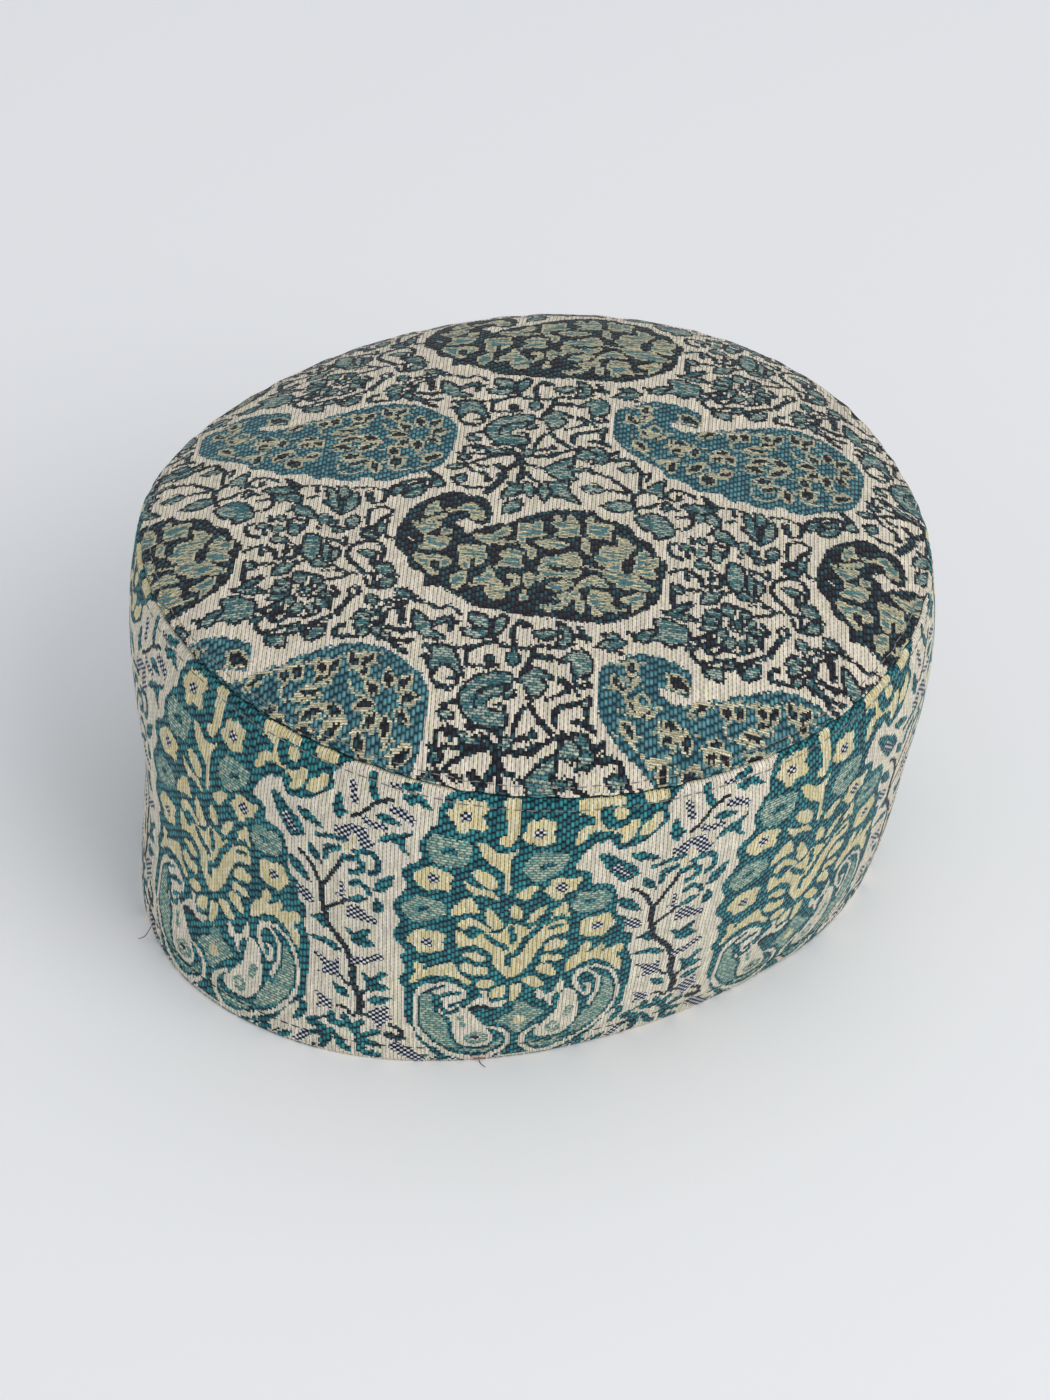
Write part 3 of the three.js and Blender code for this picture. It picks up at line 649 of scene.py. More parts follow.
# width, then the points of a black vine or a dark blot
VINES = [
    (1.3, [(-36, 6.6), (-32, 8.2), (-28.6, 8.8), (-26.8, 10.2)]), (2.2, [(-28.8, 11.4), (-26.6, 9.4)]),
    (1.3, [(-25, 13.6), (-22.4, 15.4), (-18.4, 16.2), (-16, 18), (-12, 19.6), (-8.6, 20.2)]),
    (1.5, [(-17, 15), (-14.6, 14.6)]),
    (1.4, [(-19.2, 14.2), (-18.6, 12.8), (-16.4, 12.4), (-14.8, 11), (-14, 8.8)]),
    (2.4, [(-14.4, 9.8), (-14.4, 9)]),
    (1.3, [(-23.4, 9.4), (-22, 7), (-19.4, 5.8), (-16, 5.8), (-13.2, 6.6)]),
    (2.4, [(-14.4, 3.6), (-13, 6), (-11.4, 9), (-10, 11)]),
    (2.2, [(-12.4, 15.4), (-9.6, 14.4), (-7.6, 16.6)]), (2, [(-9.4, 14), (-11.6, 11.4)]),
    (1.3, [(-9.2, 8.6), (-7.8, 8), (-6.6, 9.6), (-6.4, 12)]),
    (1.7, [(-6.8, 20.6), (-6.9, 17.6), (-6, 15), (-5.8, 10)]),
    (1.2, [(-6.4, 18.4), (-4.4, 16.2), (-1.6, 15.2), (0, 14.8)]),
    (1.4, [(-4.8, 12.8), (-3, 10.4), (-1.4, 9)]), (1.5, [(-9.4, 20.8), (-7.4, 19.6)]),
    (1.1, [(-5, 20), (0, 20.4), (3, 22)]),
    (1.2, [(11.4, 14), (14, 13), (17, 11.4), (19.4, 9), (21.8, 6.4)]),
    (1.1, [(16, 6.8), (19, 6), (22, 5.4)]), (1.5, [(18.2, 19.4), (21, 19.6), (22.6, 17.6), (23.6, 15.6)]),
    (1.5, [(24.2, 14.4), (26.6, 14)]), (1.4, [(24.6, 13.4), (24.4, 8.4), (25.4, 6.8)]),
    (1.1, [(26.6, 13), (26, 11)]), (1.6, [(25.4, 6.8), (23, 5), (22.6, 2), (23.8, -2.2)]),
    (1.4, [(24, 0), (27, 0.4), (29.4, 2), (31.6, 2.2), (33, 0), (34.2, -0.6)]),
    (1.3, [(34.8, 4), (33, 3.2), (31.2, 4.8), (31.4, 6.8), (33.4, 7.8), (36, 6.8), (38.4, 4.8)]),
    (2.2, [(34.3, 4.8), (34.5, 4.2)]), (1, [(44.4, 1.4), (49, 1), (52, -0.2), (55, -0.2)]),
    (1, [(57.4, -1), (61, -1), (63, -2.2)]), (1.4, [(43, -0.6), (44.4, -3), (44.8, -6.6)]),
    (1.4, [(33.8, -3), (37, -3)]), (1.1, [(37.2, -1.6), (37.8, -5), (37, -7.4), (34, -8)]),
    (1.5, [(48.2, 0.6), (48.4, -1.6)]), (1.4, [(46.4, -4), (48.8, -3.6)]),
    (1.1, [(54.9, -4.4), (54.9, -12.4)]),
    (1.3, [(60.8, -3.4), (61.4, -6.6), (63, -7.6), (65, -7.4), (65.6, -4.6), (64.6, -2.6), (62.8, -2)]),
    (2.2, [(61.4, -3.8), (61.8, -6)]), (1, [(71.6, -0.4), (75, 0.6), (78, 0.6)]),
    (1.3, [(42, -9), (42.6, -9.4)]), (1.6, [(37.6, -11.2), (38.2, -12.8)]),
    (1.5, [(42.4, -12.8), (46.6, -14.2), (46.4, -17.4)]), (2, [(42.4, -13.4), (42.8, -15.4)]),
    (1.4, [(32.2, -14), (34, -13.6)]), (1.5, [(32, -15), (33, -18), (35.4, -19.6)]),
    (1.6, [(36.4, -16), (37.2, -18.8)]), (1.3, [(49.6, -16.6), (50.2, -17.6)]),
    (1.3, [(62.4, -10.4), (61.6, -13.6), (62.4, -17.6), (64, -17), (65.4, -14.4), (67.8, -12),
         (66.4, -10), (64.4, -9.6), (62.6, -10.6)]), (1.2, [(66.8, -15), (66.8, -21), (68.8, -22.6)]),
    (1.4, [(60.6, -19), (64, -18)]), (1.4, [(49, -21.6), (52, -22), (54.2, -22.8)]),
    (1.6, [(33, -24.8), (35, -23.6), (38, -24)]), (1.4, [(36.8, -24), (37, -27.2)]),
    (1.7, [(38.4, -25), (40.4, -26.4), (41, -29), (44, -29.4), (45.6, -27.4), (45, -25), (43, -24.2)]),
    (2.2, [(43, -26.4), (43, -26.9)]), (1.6, [(36.4, -31), (39.8, -31)]),
    (1.5, [(33.4, -29), (33.6, -36), (35.4, -38.2), (38, -36)]), (1.7, [(45, -31.4), (47.6, -31)]),
    (1.1, [(52.6, -31.6), (55.6, -33.4), (58.4, -35.4), (62, -36), (65, -36), (69, -36.4), (71.6, -37)]),
    (1, [(53, -34.8), (57, -35), (59, -35.6)]),
    (1.1, [(59, -36.6), (56, -38), (54.6, -38.6), (52, -37.4), (49.4, -35.6), (45.6, -35)]),
    (1.5, [(60.6, -33.2), (58.4, -30), (58.2, -27), (59.8, -24.4), (63, -23.4), (66, -24.6), (67, -28),
         (66, -31.6), (65, -32.6)]), (1.6, [(64.4, -29.4), (64.4, -32)]),
    (1.5, [(59.4, -31), (62, -34.6), (63.6, -36)]), (1.5, [(57, -21.8), (57.6, -24.2)]),
    (1.3, [(55.4, -22.8), (56.8, -24.8)]), (1.4, [(65.4, -37), (65.4, -41)]),
    (1.2, [(63.4, -37.6), (64.2, -40.6)]), (1.2, [(48.4, -40), (48, -43), (50, -45), (52.4, -44)]),
    (3, [(43.2, -48.2), (43.6, -48.8)]), (1.4, [(56, -40.8), (57.6, -43.6), (55.8, -45), (56, -49.2)]),
    (1.2, [(47.2, -46), (46, -50.6), (49, -51.6), (52.6, -51), (54, -48.8)]),
    (1.5, [(42.6, -46.6), (41, -48), (39, -49)]), (1.4, [(40.4, -50), (43, -50.4), (45, -49.6)]),
    (1.8, [(61, -44.4), (59.4, -47), (57.8, -50.8)]), (1.1, [(66.8, -46), (70, -45.4), (73, -44.4)]),
    (1.4, [(76.4, -44), (73, -47), (70, -49.6), (69.4, -53)]), (1.3, [(73.6, -48), (74.4, -52.8)]),
    (0.9, [(30.4, -45.4), (37, -47.2)]), (0.9, [(30, -49.6), (34.4, -47.6)]),
    (1.8, [(26, -50.8), (28.6, -50)]), (1.6, [(41.8, -51.6), (44, -53), (46, -51.8)]),
    (1.5, [(45.4, -54.8), (50, -55), (54, -53), (57.6, -50.8)]), (1.5, [(-38.4, -44.8), (-37.6, -49.2)]),
    (1.6, [(38.8, -54.2), (41, -56.4), (43.4, -55.8), (45.4, -54.8)]),
    (1.7, [(50.6, -55.8), (50.8, -57.6), (52.2, -59)]),
    (1.7, [(60.2, -54.8), (58.6, -55.2), (58.4, -58), (60.2, -58.4), (63, -58.2)]),
    (1.5, [(62.6, -54.4), (64, -56.4)]), (1.4, [(67.4, -53.6), (71, -55), (74.8, -56.2)]),
    (1.5, [(-33.6, -43.6), (-32.8, -49.8)]), (1.1, [(-37, -44), (-34.4, -42.4), (-33, -42)]),
    (1.5, [(-39.4, -50), (-36, -51.4), (-33, -52.4), (-29.6, -52.4)]),
    (1.4, [(-38, -56), (-35, -55.6), (-32, -56.6), (-29.4, -56)]),
    (1.8, [(-35, -56), (-33, -59), (-31, -60.6)]), (1.5, [(-20.6, -51.8), (-20.2, -50), (-18.6, -48.4)]),
    (1.8, [(-11, -49.8), (-10, -53), (-9, -55.6)]),
    (1.6, [(-1, -48.8), (-3.2, -47.2), (-4.6, -48.6), (-5.4, -52), (-4.6, -55.8)]),
    (2.2, [(-2.6, -48.4), (-2.2, -48.8)]),
    (1.4, [(-18.6, -58), (-14, -57.4), (-11, -55.8), (-8, -56), (-5, -56.8), (-1, -57), (1, -55.6),
         (5, -55.8), (8, -55.4), (10, -54)]), (1.8, [(10.8, -48.4), (12, -50.2)]),
    (2, [(10, -51.4), (13.6, -52.2)]), (1.2, [(18.4, -55.4), (21.6, -56)]),
    (1.4, [(22.8, -48.4), (25, -49.4)]),
    (1.4, [(-31, -41), (-26, -42.6), (-24.4, -44), (-21, -43), (-18.6, -45.6)]),
    (1.5, [(-26.8, -58.4), (-22, -57.6), (-18, -58), (-16.4, -58), (-13, -56.8)]),
    (1.6, [(-27.4, -61.8), (-25, -61.8)]),
    (1.3, [(-24, -66), (-24, -69.6), (-22, -71.2), (-19, -71.6), (-18, -69.5), (-18.4, -67.8),
         (-20, -68.8)]), (1.5, [(-15.8, -58), (-16.2, -62), (-15.4, -64), (-12.4, -64.2), (-8.6, -63.4)]),
    (3, [(-10.4, -61), (-10.4, -61.8)]), (1.6, [(0.2, -56.8), (-0.6, -61), (-2.2, -65.4)]),
    (2, [(1, -59.6), (4.6, -59.8)]),
    (1.5, [(10.4, -65.6), (10.4, -67), (12.4, -68.4), (14.6, -68), (13, -66)]),
    (2.2, [(7, -67), (8.6, -68.2), (8.8, -70)]), (1.3, [(9, -70), (6.6, -72), (4, -73.6)]),
    (1.2, [(10.4, -69), (11.6, -71.6)]), (0.9, [(-1.4, -73.4), (0.8, -74.2)]),
    (1.4, [(-8.4, -76.2), (-6.4, -76.6), (-6, -78.8)]),
    (1.4, [(-21.2, -77.4), (-19, -76.2), (-16.4, -76.2)]),
    (1.6, [(-2.8, -79.6), (-1.4, -76.8), (0.6, -76.6), (1.6, -79), (3.6, -81), (5, -82.8)]),
    (1.4, [(-2.8, -80), (-3.6, -83), (-3, -85.4), (0.6, -85.4), (1.6, -84)]),
    (2.2, [(1, -84.2), (1.2, -83.8)]),
    (1.8, [(6.4, -81), (6, -77.6), (7.4, -75.6), (10, -74.8), (12.6, -73.4)]),
    (1.5, [(14.4, -72), (14.4, -74), (13.6, -77), (14.6, -80), (15.8, -81.8)]),
    (1.4, [(10.4, -79.2), (12.4, -79.6), (15.4, -80.4)]),
    (1.4, [(-22, -88), (-22, -85.4), (-20.6, -84), (-18.4, -83.6), (-18.4, -86.6)]),
    (2, [(-19.4, -85.2), (-19.2, -84.8)]), (1.2, [(-23.8, -88.6), (-21, -89), (-18, -88.8), (-15, -89.4)]),
    (2.2, [(-14.2, -82.8), (-13.8, -83.2)]), (1.3, [(-11.6, -83.8), (-9.6, -82.6)]),
    (1.8, [(-8.2, -84), (-6.8, -84.6)]), (1.3, [(-10, -85.8), (-8.6, -88.4), (-6, -89.6)]),
    (1.2, [(-6, -90), (-3, -89.6), (1, -89.4), (3.6, -87), (6, -85.2)]),
    (2.2, [(8.2, -83.6), (8.8, -83.8)]), (1.2, [(5.2, -83.8), (7, -84.8)]),
    (1.2, [(7.6, -85.6), (10, -85.6)]), (1.9, [(15.4, -86.4), (18, -85.6), (18.2, -84.4)]),
    (2.2, [(17.8, -88.8), (21, -88.4)]),
]
VINE_WIDTH = 0.95
HOOK_BACK = [
    (-6.2, -67.8), (-10.4, -68.6), (-14, -71.2), (-15.4, -75), (-14.2, -78.8), (-11, -81.2), (-7, -81),
]
HOOK_FRONT = [(-6.8, -71.6), (-10.4, -73.2), (-12.2, -76.2), (-10.4, -79.2), (-7.4, -79.8)]
HOOKS = [(INK, [(4.6, HOOK_BACK), (3.4, HOOK_FRONT)]), (LEAF, [(2.6, HOOK_BACK), (1.8, HOOK_FRONT)])]
DOTS = [(-5.2, -72.4, 1.8, INK), (-5.2, -72.4, 0.9, LEAF), (61.2, -42.6, 2.0, INK), (61.2, -42.6, 0.7, CREAM)]


def chart_ground(chart):
    """The vines, leaves and flowers on the cream ground."""
    for width, points in VINES:
        chart.stroke(points, width * VINE_WIDTH, INK)
    for leaf in LEAVES:
        chart.leaf(*leaf)
    for label, outlines in LOBED_LEAVES:
        for corners in outlines:
            chart.fill(corners, label)
            chart.stroke(corners, LOBE_RIM, INK, closed=True)
    chart.stroke_all(HOOKS)
    for dot in DOTS:
        chart.dot(*dot)


def chart_dark_paisley(chart):
    chart.fill(DARK_PAISLEY, INK)
    for corners in PALE_LEAVES:
        middle = np.mean(corners, axis=0)
        corners = middle + PALE_SIZE * (corners - middle)
        chart.fill(corners, PALE)
        chart.stroke(corners, PALE_RIM, YELLOW, closed=True)


def chart_teal_paisley(chart):
    chart.fill(TEAL_PAISLEY, TEAL)
    for grown, label in ((PETAL, YELLOW), (0.0, INK)):
        for x, y, way, length, width in SEEDS:
            reach = (length - SEED_TRIM[0] + grown) / 2
            ends = spoke(x, y, math.radians(way), -reach, reach)
            chart.leaf(*ends, width - SEED_TRIM[1] + grown, label, label)
    for x, y, way, *_ in SEEDS:
        side = 1 if way > 0 else -1
        chart.stroke([(x + across, y + up * side) for across, up in SEED_LINE], SEED_LINE_WIDTH, YELLOW)
    chart.curl(*SEED_CURL, YELLOW)
    for petal in range(PETALS):
        ends = spoke(*BIG_FLOWER, petal * 2 * math.pi / PETALS, *PETAL_ENDS)
        chart.leaf(*ends, PETAL_WIDTH, INK, YELLOW, PETAL_RIM)


def chart_crown():
    chart = Chart(CROWN_REPEAT, CROWN_RAGGED, crown_cloth)
    chart_ground(chart)
    chart_dark_paisley(chart)
    chart_teal_paisley(chart)
    chart.stroke_all(PAISLEY_LINES)
    chart.fill_all([(CREAM, NOTCHES)])
    return chart


# The band's repeat, in millimetres along the band and above the hem. A column
# of flowers stands between -30 and 29, and a black tree on cream left of it.

COLUMN = [
    (0, -4), (-9, -3), (-13, -1.2), (-16.5, 0.3), (-19.5, 2), (-22.5, 5.5), (-25, 9), (-26, 13),
    (-27.6, 15), (-28.3, 21), (-28, 26.8), (-29.8, 29.5), (-28, 33.6), (-29.3, 38), (-28, 39.8),
    (-30.8, 43.5), (-31, 46), (-29.5, 50), (-30.8, 53.5), (-31.2, 56), (-28.2, 61), (-27.6, 63.5),
    (-29, 66), (-28, 69.3), (-24.3, 72.8), (-24.8, 77), (-22.2, 82.8), (-20.5, 84), (-20.9, 86.5),
    (-19.3, 91.3), (-17.3, 93.5), (-16.8, 97), (37, 97), (37, 92), (34.5, 88.5), (35.3, 85.5), (31.5, 81.5),
    (28, 79), (24.5, 77.8), (22.5, 78), (20.5, 81), (17.3, 80.3), (14.5, 77.8), (12.7, 74), (13, 73),
    (16.7, 71), (16.8, 67.5), (20, 66.8), (22.2, 65.6), (23.8, 60), (24, 54.5), (26.8, 52), (27.2, 49.5),
    (26.3, 47.5), (29, 44.5), (28.2, 39.5), (29.8, 34), (29.5, 20), (28.8, 16), (24, 10.5), (20.5, 5),
    (16, 0.5), (9, -1.2), (5, -3),
]

# label, then the corners of each rounded patch
BAND_PATCHES = [
    (YELLOW, [
        [(-18.8, 87.5), (-18, 86), (-16.3, 84.8), (-15.8, 82.8), (-14, 82.6), (-12.5, 83.8), (-9, 84.2),
         (-9.2, 86.6), (-10.3, 88), (-9, 89.5), (-9.2, 91.7), (-13, 91.8), (-16.5, 91.5), (-17, 89.8)],
        [(-26.3, 66), (-25, 68.5), (-23.5, 70.3), (-21, 70.8), (-17.5, 70), (-16.2, 68.3), (-17.6, 66.6),
         (-16.4, 65), (-17.5, 63.6), (-20, 64), (-22.5, 62.8), (-24.5, 64.2)],
        [(-27.5, 45), (-26, 47), (-24.5, 48.6), (-21.5, 48.3), (-19.5, 48.8), (-17.9, 47), (-18.8, 45),
         (-18.3, 42.2), (-20.5, 41.4), (-22, 40.4), (-25.2, 40.4), (-25.4, 42), (-27.4, 43.2)],
        [(-0.8, 83), (0.5, 85), (1.3, 87.6), (4.3, 88.2), (7, 87.8), (7.5, 86), (7, 84.4), (7.6, 82.3),
         (6.4, 81), (4, 80.6), (1.8, 81)],
        [(5.3, 65.5), (6.5, 67), (7.3, 69.2), (9.6, 70), (11, 69.5), (13.8, 70), (14.2, 68.6), (13, 67.2),
         (13.2, 65.6), (10.7, 64.5), (10, 62.5), (8.4, 62), (7.2, 63.4), (6.4, 64.5)],
        [(15, 52.5), (16, 54), (18.3, 54.2), (20, 55.2), (22.3, 55), (22.8, 53.3), (24, 51.5), (22.6, 48.6),
         (21, 46.8), (18.5, 46.5), (16, 47.3), (14.7, 48.5), (15.2, 50.5)],
        [(-10.8, 80.3), (-8.4, 79.9), (-6.4, 78.4), (-4.4, 77.7), (-2.4, 78.5), (-1.1, 79.8), (-1.6, 77.4),
         (-2.9, 75.5), (-3, 71), (-2.5, 66), (-3.7, 64.6), (-4.1, 67.5), (-3.9, 70.6), (-5.2, 72.4),
         (-8, 74.5), (-9.7, 76.8)],
        [(-4.8, 93.4), (-1.4, 93.4), (-1.2, 88.5), (-1, 85.5), (-1.8, 82.6), (-3.3, 79.9), (-5, 80.4),
         (-6, 82.2), (-4, 83.6), (-3.9, 86.5), (-4.7, 89.5)],
        [(-11.9, 71), (-10, 72), (-8, 71.1), (-6.1, 69.5), (-6, 66.6), (-7.5, 66), (-9.7, 67.6),
         (-11.2, 69.2)],
        [(-14.2, 68.3), (-12.2, 66.9), (-10, 65.7), (-7.6, 65.2), (-5.8, 63.8), (-4.9, 61.6), (-6.6, 62.4),
         (-8.8, 63.6), (-11.6, 63.8), (-13, 65.6)],
        [(-16.2, 58), (-14.5, 60.5), (-12.5, 62.3), (-10.9, 60.4), (-10, 58), (-10.3, 56.9), (-12.5, 56.8),
         (-14.6, 55.9), (-16.9, 55.1)],
        [(-8.4, 57.5), (-7.3, 58.6), (-5.4, 56), (-4.2, 53.5), (-4.6, 51.5), (-6.5, 51.2), (-8, 54)],
        [(-14.8, 51), (-14.6, 53), (-13, 54.4), (-10.5, 54.3), (-8.8, 52.8), (-6.6, 50.4), (-8.6, 50.7),
         (-10.2, 52), (-11.7, 52.2), (-13.1, 50.9)],
        [(-2.6, 59.3), (-1, 60.6), (0.1, 59), (0.8, 56), (-0.5, 55.3), (-2.1, 56), (-2.4, 57.8)],
        [(-1.1, 64.3), (0.8, 66.5), (3, 67.6), (4.1, 67), (3, 65), (2, 63.1), (0, 62.7)],
        [(1.9, 54.2), (2.4, 56.5), (4, 58.6), (6, 60.3), (6, 58.4), (5, 56.4), (3.6, 54.5)],
        [(6, 54.6), (7, 57.4), (9, 59), (10.3, 61.2), (11.2, 60), (11.8, 57.3), (11.6, 55.4), (9.8, 56.2),
         (8, 55.6)],
        [(-3.4, 33), (-5.4, 35.4), (-6.6, 39.5), (-9.2, 43), (-11, 44.4), (-13.4, 44), (-15, 42.6),
         (-15.3, 45.2), (-15.8, 49), (-13, 49.3), (-10, 49.2), (-7.6, 50), (-5.6, 49.6), (-4.4, 50.6),
         (-2, 53.6), (0.6, 52.8), (2.3, 51.6), (4.4, 53), (6.6, 54.2), (9, 55), (11, 54.2), (11.9, 51.8),
         (11.5, 49.4), (8.6, 49), (6.2, 46.8), (4.8, 42.8), (3, 38.4), (0.9, 35), (-1, 33.2)],
        [(-26.9, 28.8), (-26.5, 31.5), (-25.5, 33), (-26.1, 35.4), (-25, 36.6), (-23, 36.3), (-21.8, 35.4),
         (-20, 36.4), (-16.8, 37.9), (-15.5, 36.8), (-14.8, 35), (-13.3, 33), (-11.6, 31.5), (-12.3, 30.2),
         (-13.8, 31.3), (-16, 32.6), (-19, 33), (-22, 32.3), (-24, 31.2), (-25.6, 29.6)],
        [(12.5, 33.4), (12.2, 36), (13, 38.6), (15.5, 41), (15.8, 43.2), (17, 44.9), (18.1, 44),
         (18.4, 41.8), (20, 42), (21, 43.9), (21.7, 42), (21.6, 40), (23.6, 41), (25.5, 42.4), (26.8, 41.5),
         (26.8, 39.2), (25, 38.3), (25.4, 37), (26.9, 35.5), (27.3, 31.5), (26.2, 31.3), (24.2, 34),
         (22.8, 36), (19.5, 37.4), (16.4, 36.4), (14.3, 34.6)],
        [(6.4, 43), (6.7, 45), (8.5, 46.9), (10.5, 46.6), (12.1, 45.8), (11.5, 44), (9, 43), (7.5, 42.5)],
        [(5.7, 39.3), (6.1, 41.1), (9, 40.9), (11.1, 40), (10.8, 38.6), (8, 38.8), (6.5, 38.2)],
        [(4.7, 35.3), (5.3, 37.4), (8, 37.3), (9.3, 35), (9.9, 33.4), (8.5, 33.1), (6, 34.2)],
        [(0.9, 31.8), (2.5, 33.3), (4.6, 33), (5.7, 31.4), (6.9, 30), (6.5, 28.9), (4, 29.1), (2.4, 30.2)],
        [(-1.8, 29.5), (-0.2, 30.6), (1.1, 29.8), (0.8, 27), (0, 24.4), (-1.4, 24), (-1.8, 26.5)],
        [(-10.4, 29.8), (-9.5, 31.8), (-7.5, 32.4), (-5.9, 31.8), (-6.3, 30), (-8, 29.2)],
        [(-6.9, 26.8), (-5.8, 28.6), (-4, 30.1), (-3.2, 30.3), (-2.9, 28), (-3.3, 26), (-5, 25.2),
         (-6.6, 25.2)],
        [(-14.3, 36.5), (-13, 37.9), (-11.5, 38), (-10.4, 36.8), (-8.4, 37.1), (-7.4, 35.5), (-8, 34),
         (-10.6, 34), (-13, 34.7)],
        [(-14.1, 40.3), (-13.2, 41.9), (-11, 42.3), (-9, 41.4), (-7.7, 40), (-8.8, 38.9), (-10.5, 39),
         (-12, 40)],
        [(13, 93.4), (12.6, 90), (14.4, 89.6), (16.6, 88.3), (16.9, 86.4), (15, 86), (13.3, 84.8),
         (12.4, 82.4), (12.5, 80), (13.7, 81), (15.2, 83), (17.2, 84.3), (19.5, 84), (22.2, 83.2),
         (24.1, 82.2), (23, 81), (23.5, 79.8), (25.4, 80.6), (27, 82.6), (27.9, 86.6), (26, 86.4),
         (24, 84.9), (21.5, 84.5), (19.3, 85.2), (18.2, 87), (18.1, 91), (20.4, 91.4), (24, 91.3),
         (23.8, 94), (17, 94)],
        [(21.2, 88.8), (21.5, 90.4), (23.4, 90.5), (24.7, 89.4), (24.3, 87.6), (22.3, 87.2)],
        [(28, 81.2), (27.9, 83.2), (29.4, 85.4), (31.5, 86.9), (32.9, 88.2), (33.6, 85.4), (31.8, 83),
         (29.8, 81.5)],
        [(29.6, 90.8), (29.2, 94), (35, 94), (34.8, 91.2), (32, 90.4)],
    ]),
    (GREEN, [
        [(-23.2, 77), (-22.6, 79.4), (-21, 80.9), (-17, 80.5), (-13.2, 80), (-12.2, 78), (-13.4, 73.2),
         (-15, 72.2), (-18, 71.8), (-20.6, 72), (-22.4, 74.6)],
        [(-28.9, 55.5), (-27, 58.2), (-24.6, 60.2), (-21.5, 60), (-18.8, 59.3), (-17.7, 57.5), (-18.3, 55),
         (-20.6, 53), (-23, 51.6), (-26, 51.2), (-28.2, 53)],
        [(0.1, 73.5), (1.7, 76.5), (3, 78.6), (6.5, 78.3), (9.5, 78.3), (10.9, 77), (10, 74.4), (8.4, 72),
         (6.4, 70), (4, 68.9), (1.8, 70)],
        [(12, 60), (13.5, 62.5), (13.8, 64.4), (17, 64), (20, 65), (21.4, 63), (22, 61), (21, 58.4),
         (19, 57.2), (16, 56.4), (13.4, 57.5)],
        [(-5.2, 15.8), (-3, 18.4), (-0.6, 20), (-0.2, 23), (2, 23.4), (4.4, 21), (7.6, 18.6), (5.8, 16.6),
         (3.6, 14.2), (1, 10.6), (-1, 12.2), (-2.6, 14.6)],
    ]),
    (YELLOW, [
        [(-0.8, 16.8), (0.4, 17.8), (2.2, 17.2), (2.6, 15.6), (1, 14.2), (-0.4, 15.2)],
    ]),
    (CREAM, [
        [(-25.6, 13), (-26, 20), (-25.8, 25), (-24, 28.4), (-20.5, 30), (-17.5, 30.6), (-15, 29.8),
         (-13, 28), (-12.6, 25.4), (-13.6, 24), (-14.6, 22), (-13, 21.6), (-11.2, 23.8), (-9.8, 25.4),
         (-9.2, 27.8), (-7.7, 28.2), (-7.2, 25.5), (-6.2, 23.4), (-3, 24.6), (-2.4, 23.6), (-4.6, 21.6),
         (-7, 22.2), (-9.4, 22.9), (-11.5, 22), (-11.8, 20.6), (-10.3, 18), (-7.2, 14), (-5.4, 13.8),
         (-2.2, 12.1), (-1, 9.4), (-1.3, 6.2), (-3, 3.9), (-5.4, 1.8), (-8.6, 0.5), (-12.5, 0.8),
         (-16.5, 2.2), (-20.5, 5.4), (-23.6, 9.2)],
    ]),
    (TEAL, [
        [(-24.6, 14), (-25, 20), (-24.6, 25), (-22.6, 27), (-20.8, 26.6), (-19.9, 23), (-19.7, 19.6),
         (-18, 18.6), (-16.6, 16.8), (-15.9, 11.6), (-14.8, 8.2), (-12.4, 6.2), (-8.4, 6), (-5.9, 8.4),
         (-6.2, 11.4), (-7.6, 13.6), (-5, 12.6), (-2.9, 10.8), (-2.2, 8.4), (-2.6, 6.4), (-4.4, 4.4),
         (-6.6, 2.9), (-9.4, 2), (-13, 2.6), (-16.6, 4.2), (-20, 7), (-22.6, 10.4)],
    ]),
    (GREEN, [
        [(-24, 15), (-24.4, 20), (-23.9, 24.4), (-22.2, 26), (-21.3, 24.6), (-20.7, 20), (-19, 17.8),
         (-17.6, 15.4), (-16.9, 11), (-15.4, 7.4), (-12.6, 5.2), (-8.4, 4.8), (-5, 7), (-3.6, 9.6),
         (-3.2, 7.4), (-5, 5), (-7.6, 3.8), (-12, 3.8), (-16.6, 5.6), (-19.6, 8.2), (-22.2, 11.4)],
    ]),
    (CREAM, [
        [(2.2, 10.4), (4, 12.2), (5.9, 13.9), (6.6, 12.6), (7.6, 14.4), (9.8, 17), (11, 20), (11.4, 23.6),
         (12.4, 27.2), (14.6, 26.2), (15.8, 24), (16.6, 20), (16.9, 16.6), (16.4, 13.6), (15, 10.8),
         (13.6, 8.8), (10, 7.4), (6.6, 8), (5.2, 9.6), (5.6, 12.4), (3.6, 10), (2.6, 7.6), (3.2, 4.8),
         (5.6, 2.6), (9, 2.2), (13.4, 3.8), (17.4, 6.2), (20.6, 8.8), (23.6, 12.4), (25.8, 16.6),
         (26.6, 21), (26.3, 25), (24.8, 30), (22.4, 32.8), (20.2, 33.9), (18.6, 33.4), (21.6, 30),
         (22.1, 26.6), (21.6, 23.4), (20.4, 19.4), (19.4, 18.4), (19.2, 20), (20.6, 24), (20.9, 27),
         (20.2, 30.6), (17.6, 32.8), (15.8, 31), (15.9, 28.4), (17.2, 25.6), (18.4, 23.9), (18.6, 26),
         (17.4, 27.8), (19, 28.2), (19.8, 25.6), (18.7, 22.8), (16.7, 24.6), (14.9, 27.4), (14.3, 30.8),
         (15.6, 33.6), (18.4, 35), (20.8, 34.9), (23.4, 33.2), (25.7, 30.6), (27.2, 26), (27.5, 21),
         (26.8, 16.2), (24.2, 11.4), (21, 7.6), (17.6, 4.8), (13.6, 2.2), (9, 0.7), (5.6, 0.7), (2.8, 3),
         (1, 6), (1.1, 8.4)],
    ]),
    (GREEN, [
        [(22.4, 29.2), (24.2, 28.8), (25.5, 25.4), (25.9, 21), (25.1, 16.8), (23, 12.8), (20, 9.6),
         (16.8, 7.6), (15.2, 7.8), (15.8, 10.8), (17.4, 13.4), (18.6, 16.6), (20, 16.4), (21, 19.4),
         (22.4, 23), (22.8, 26.4)],
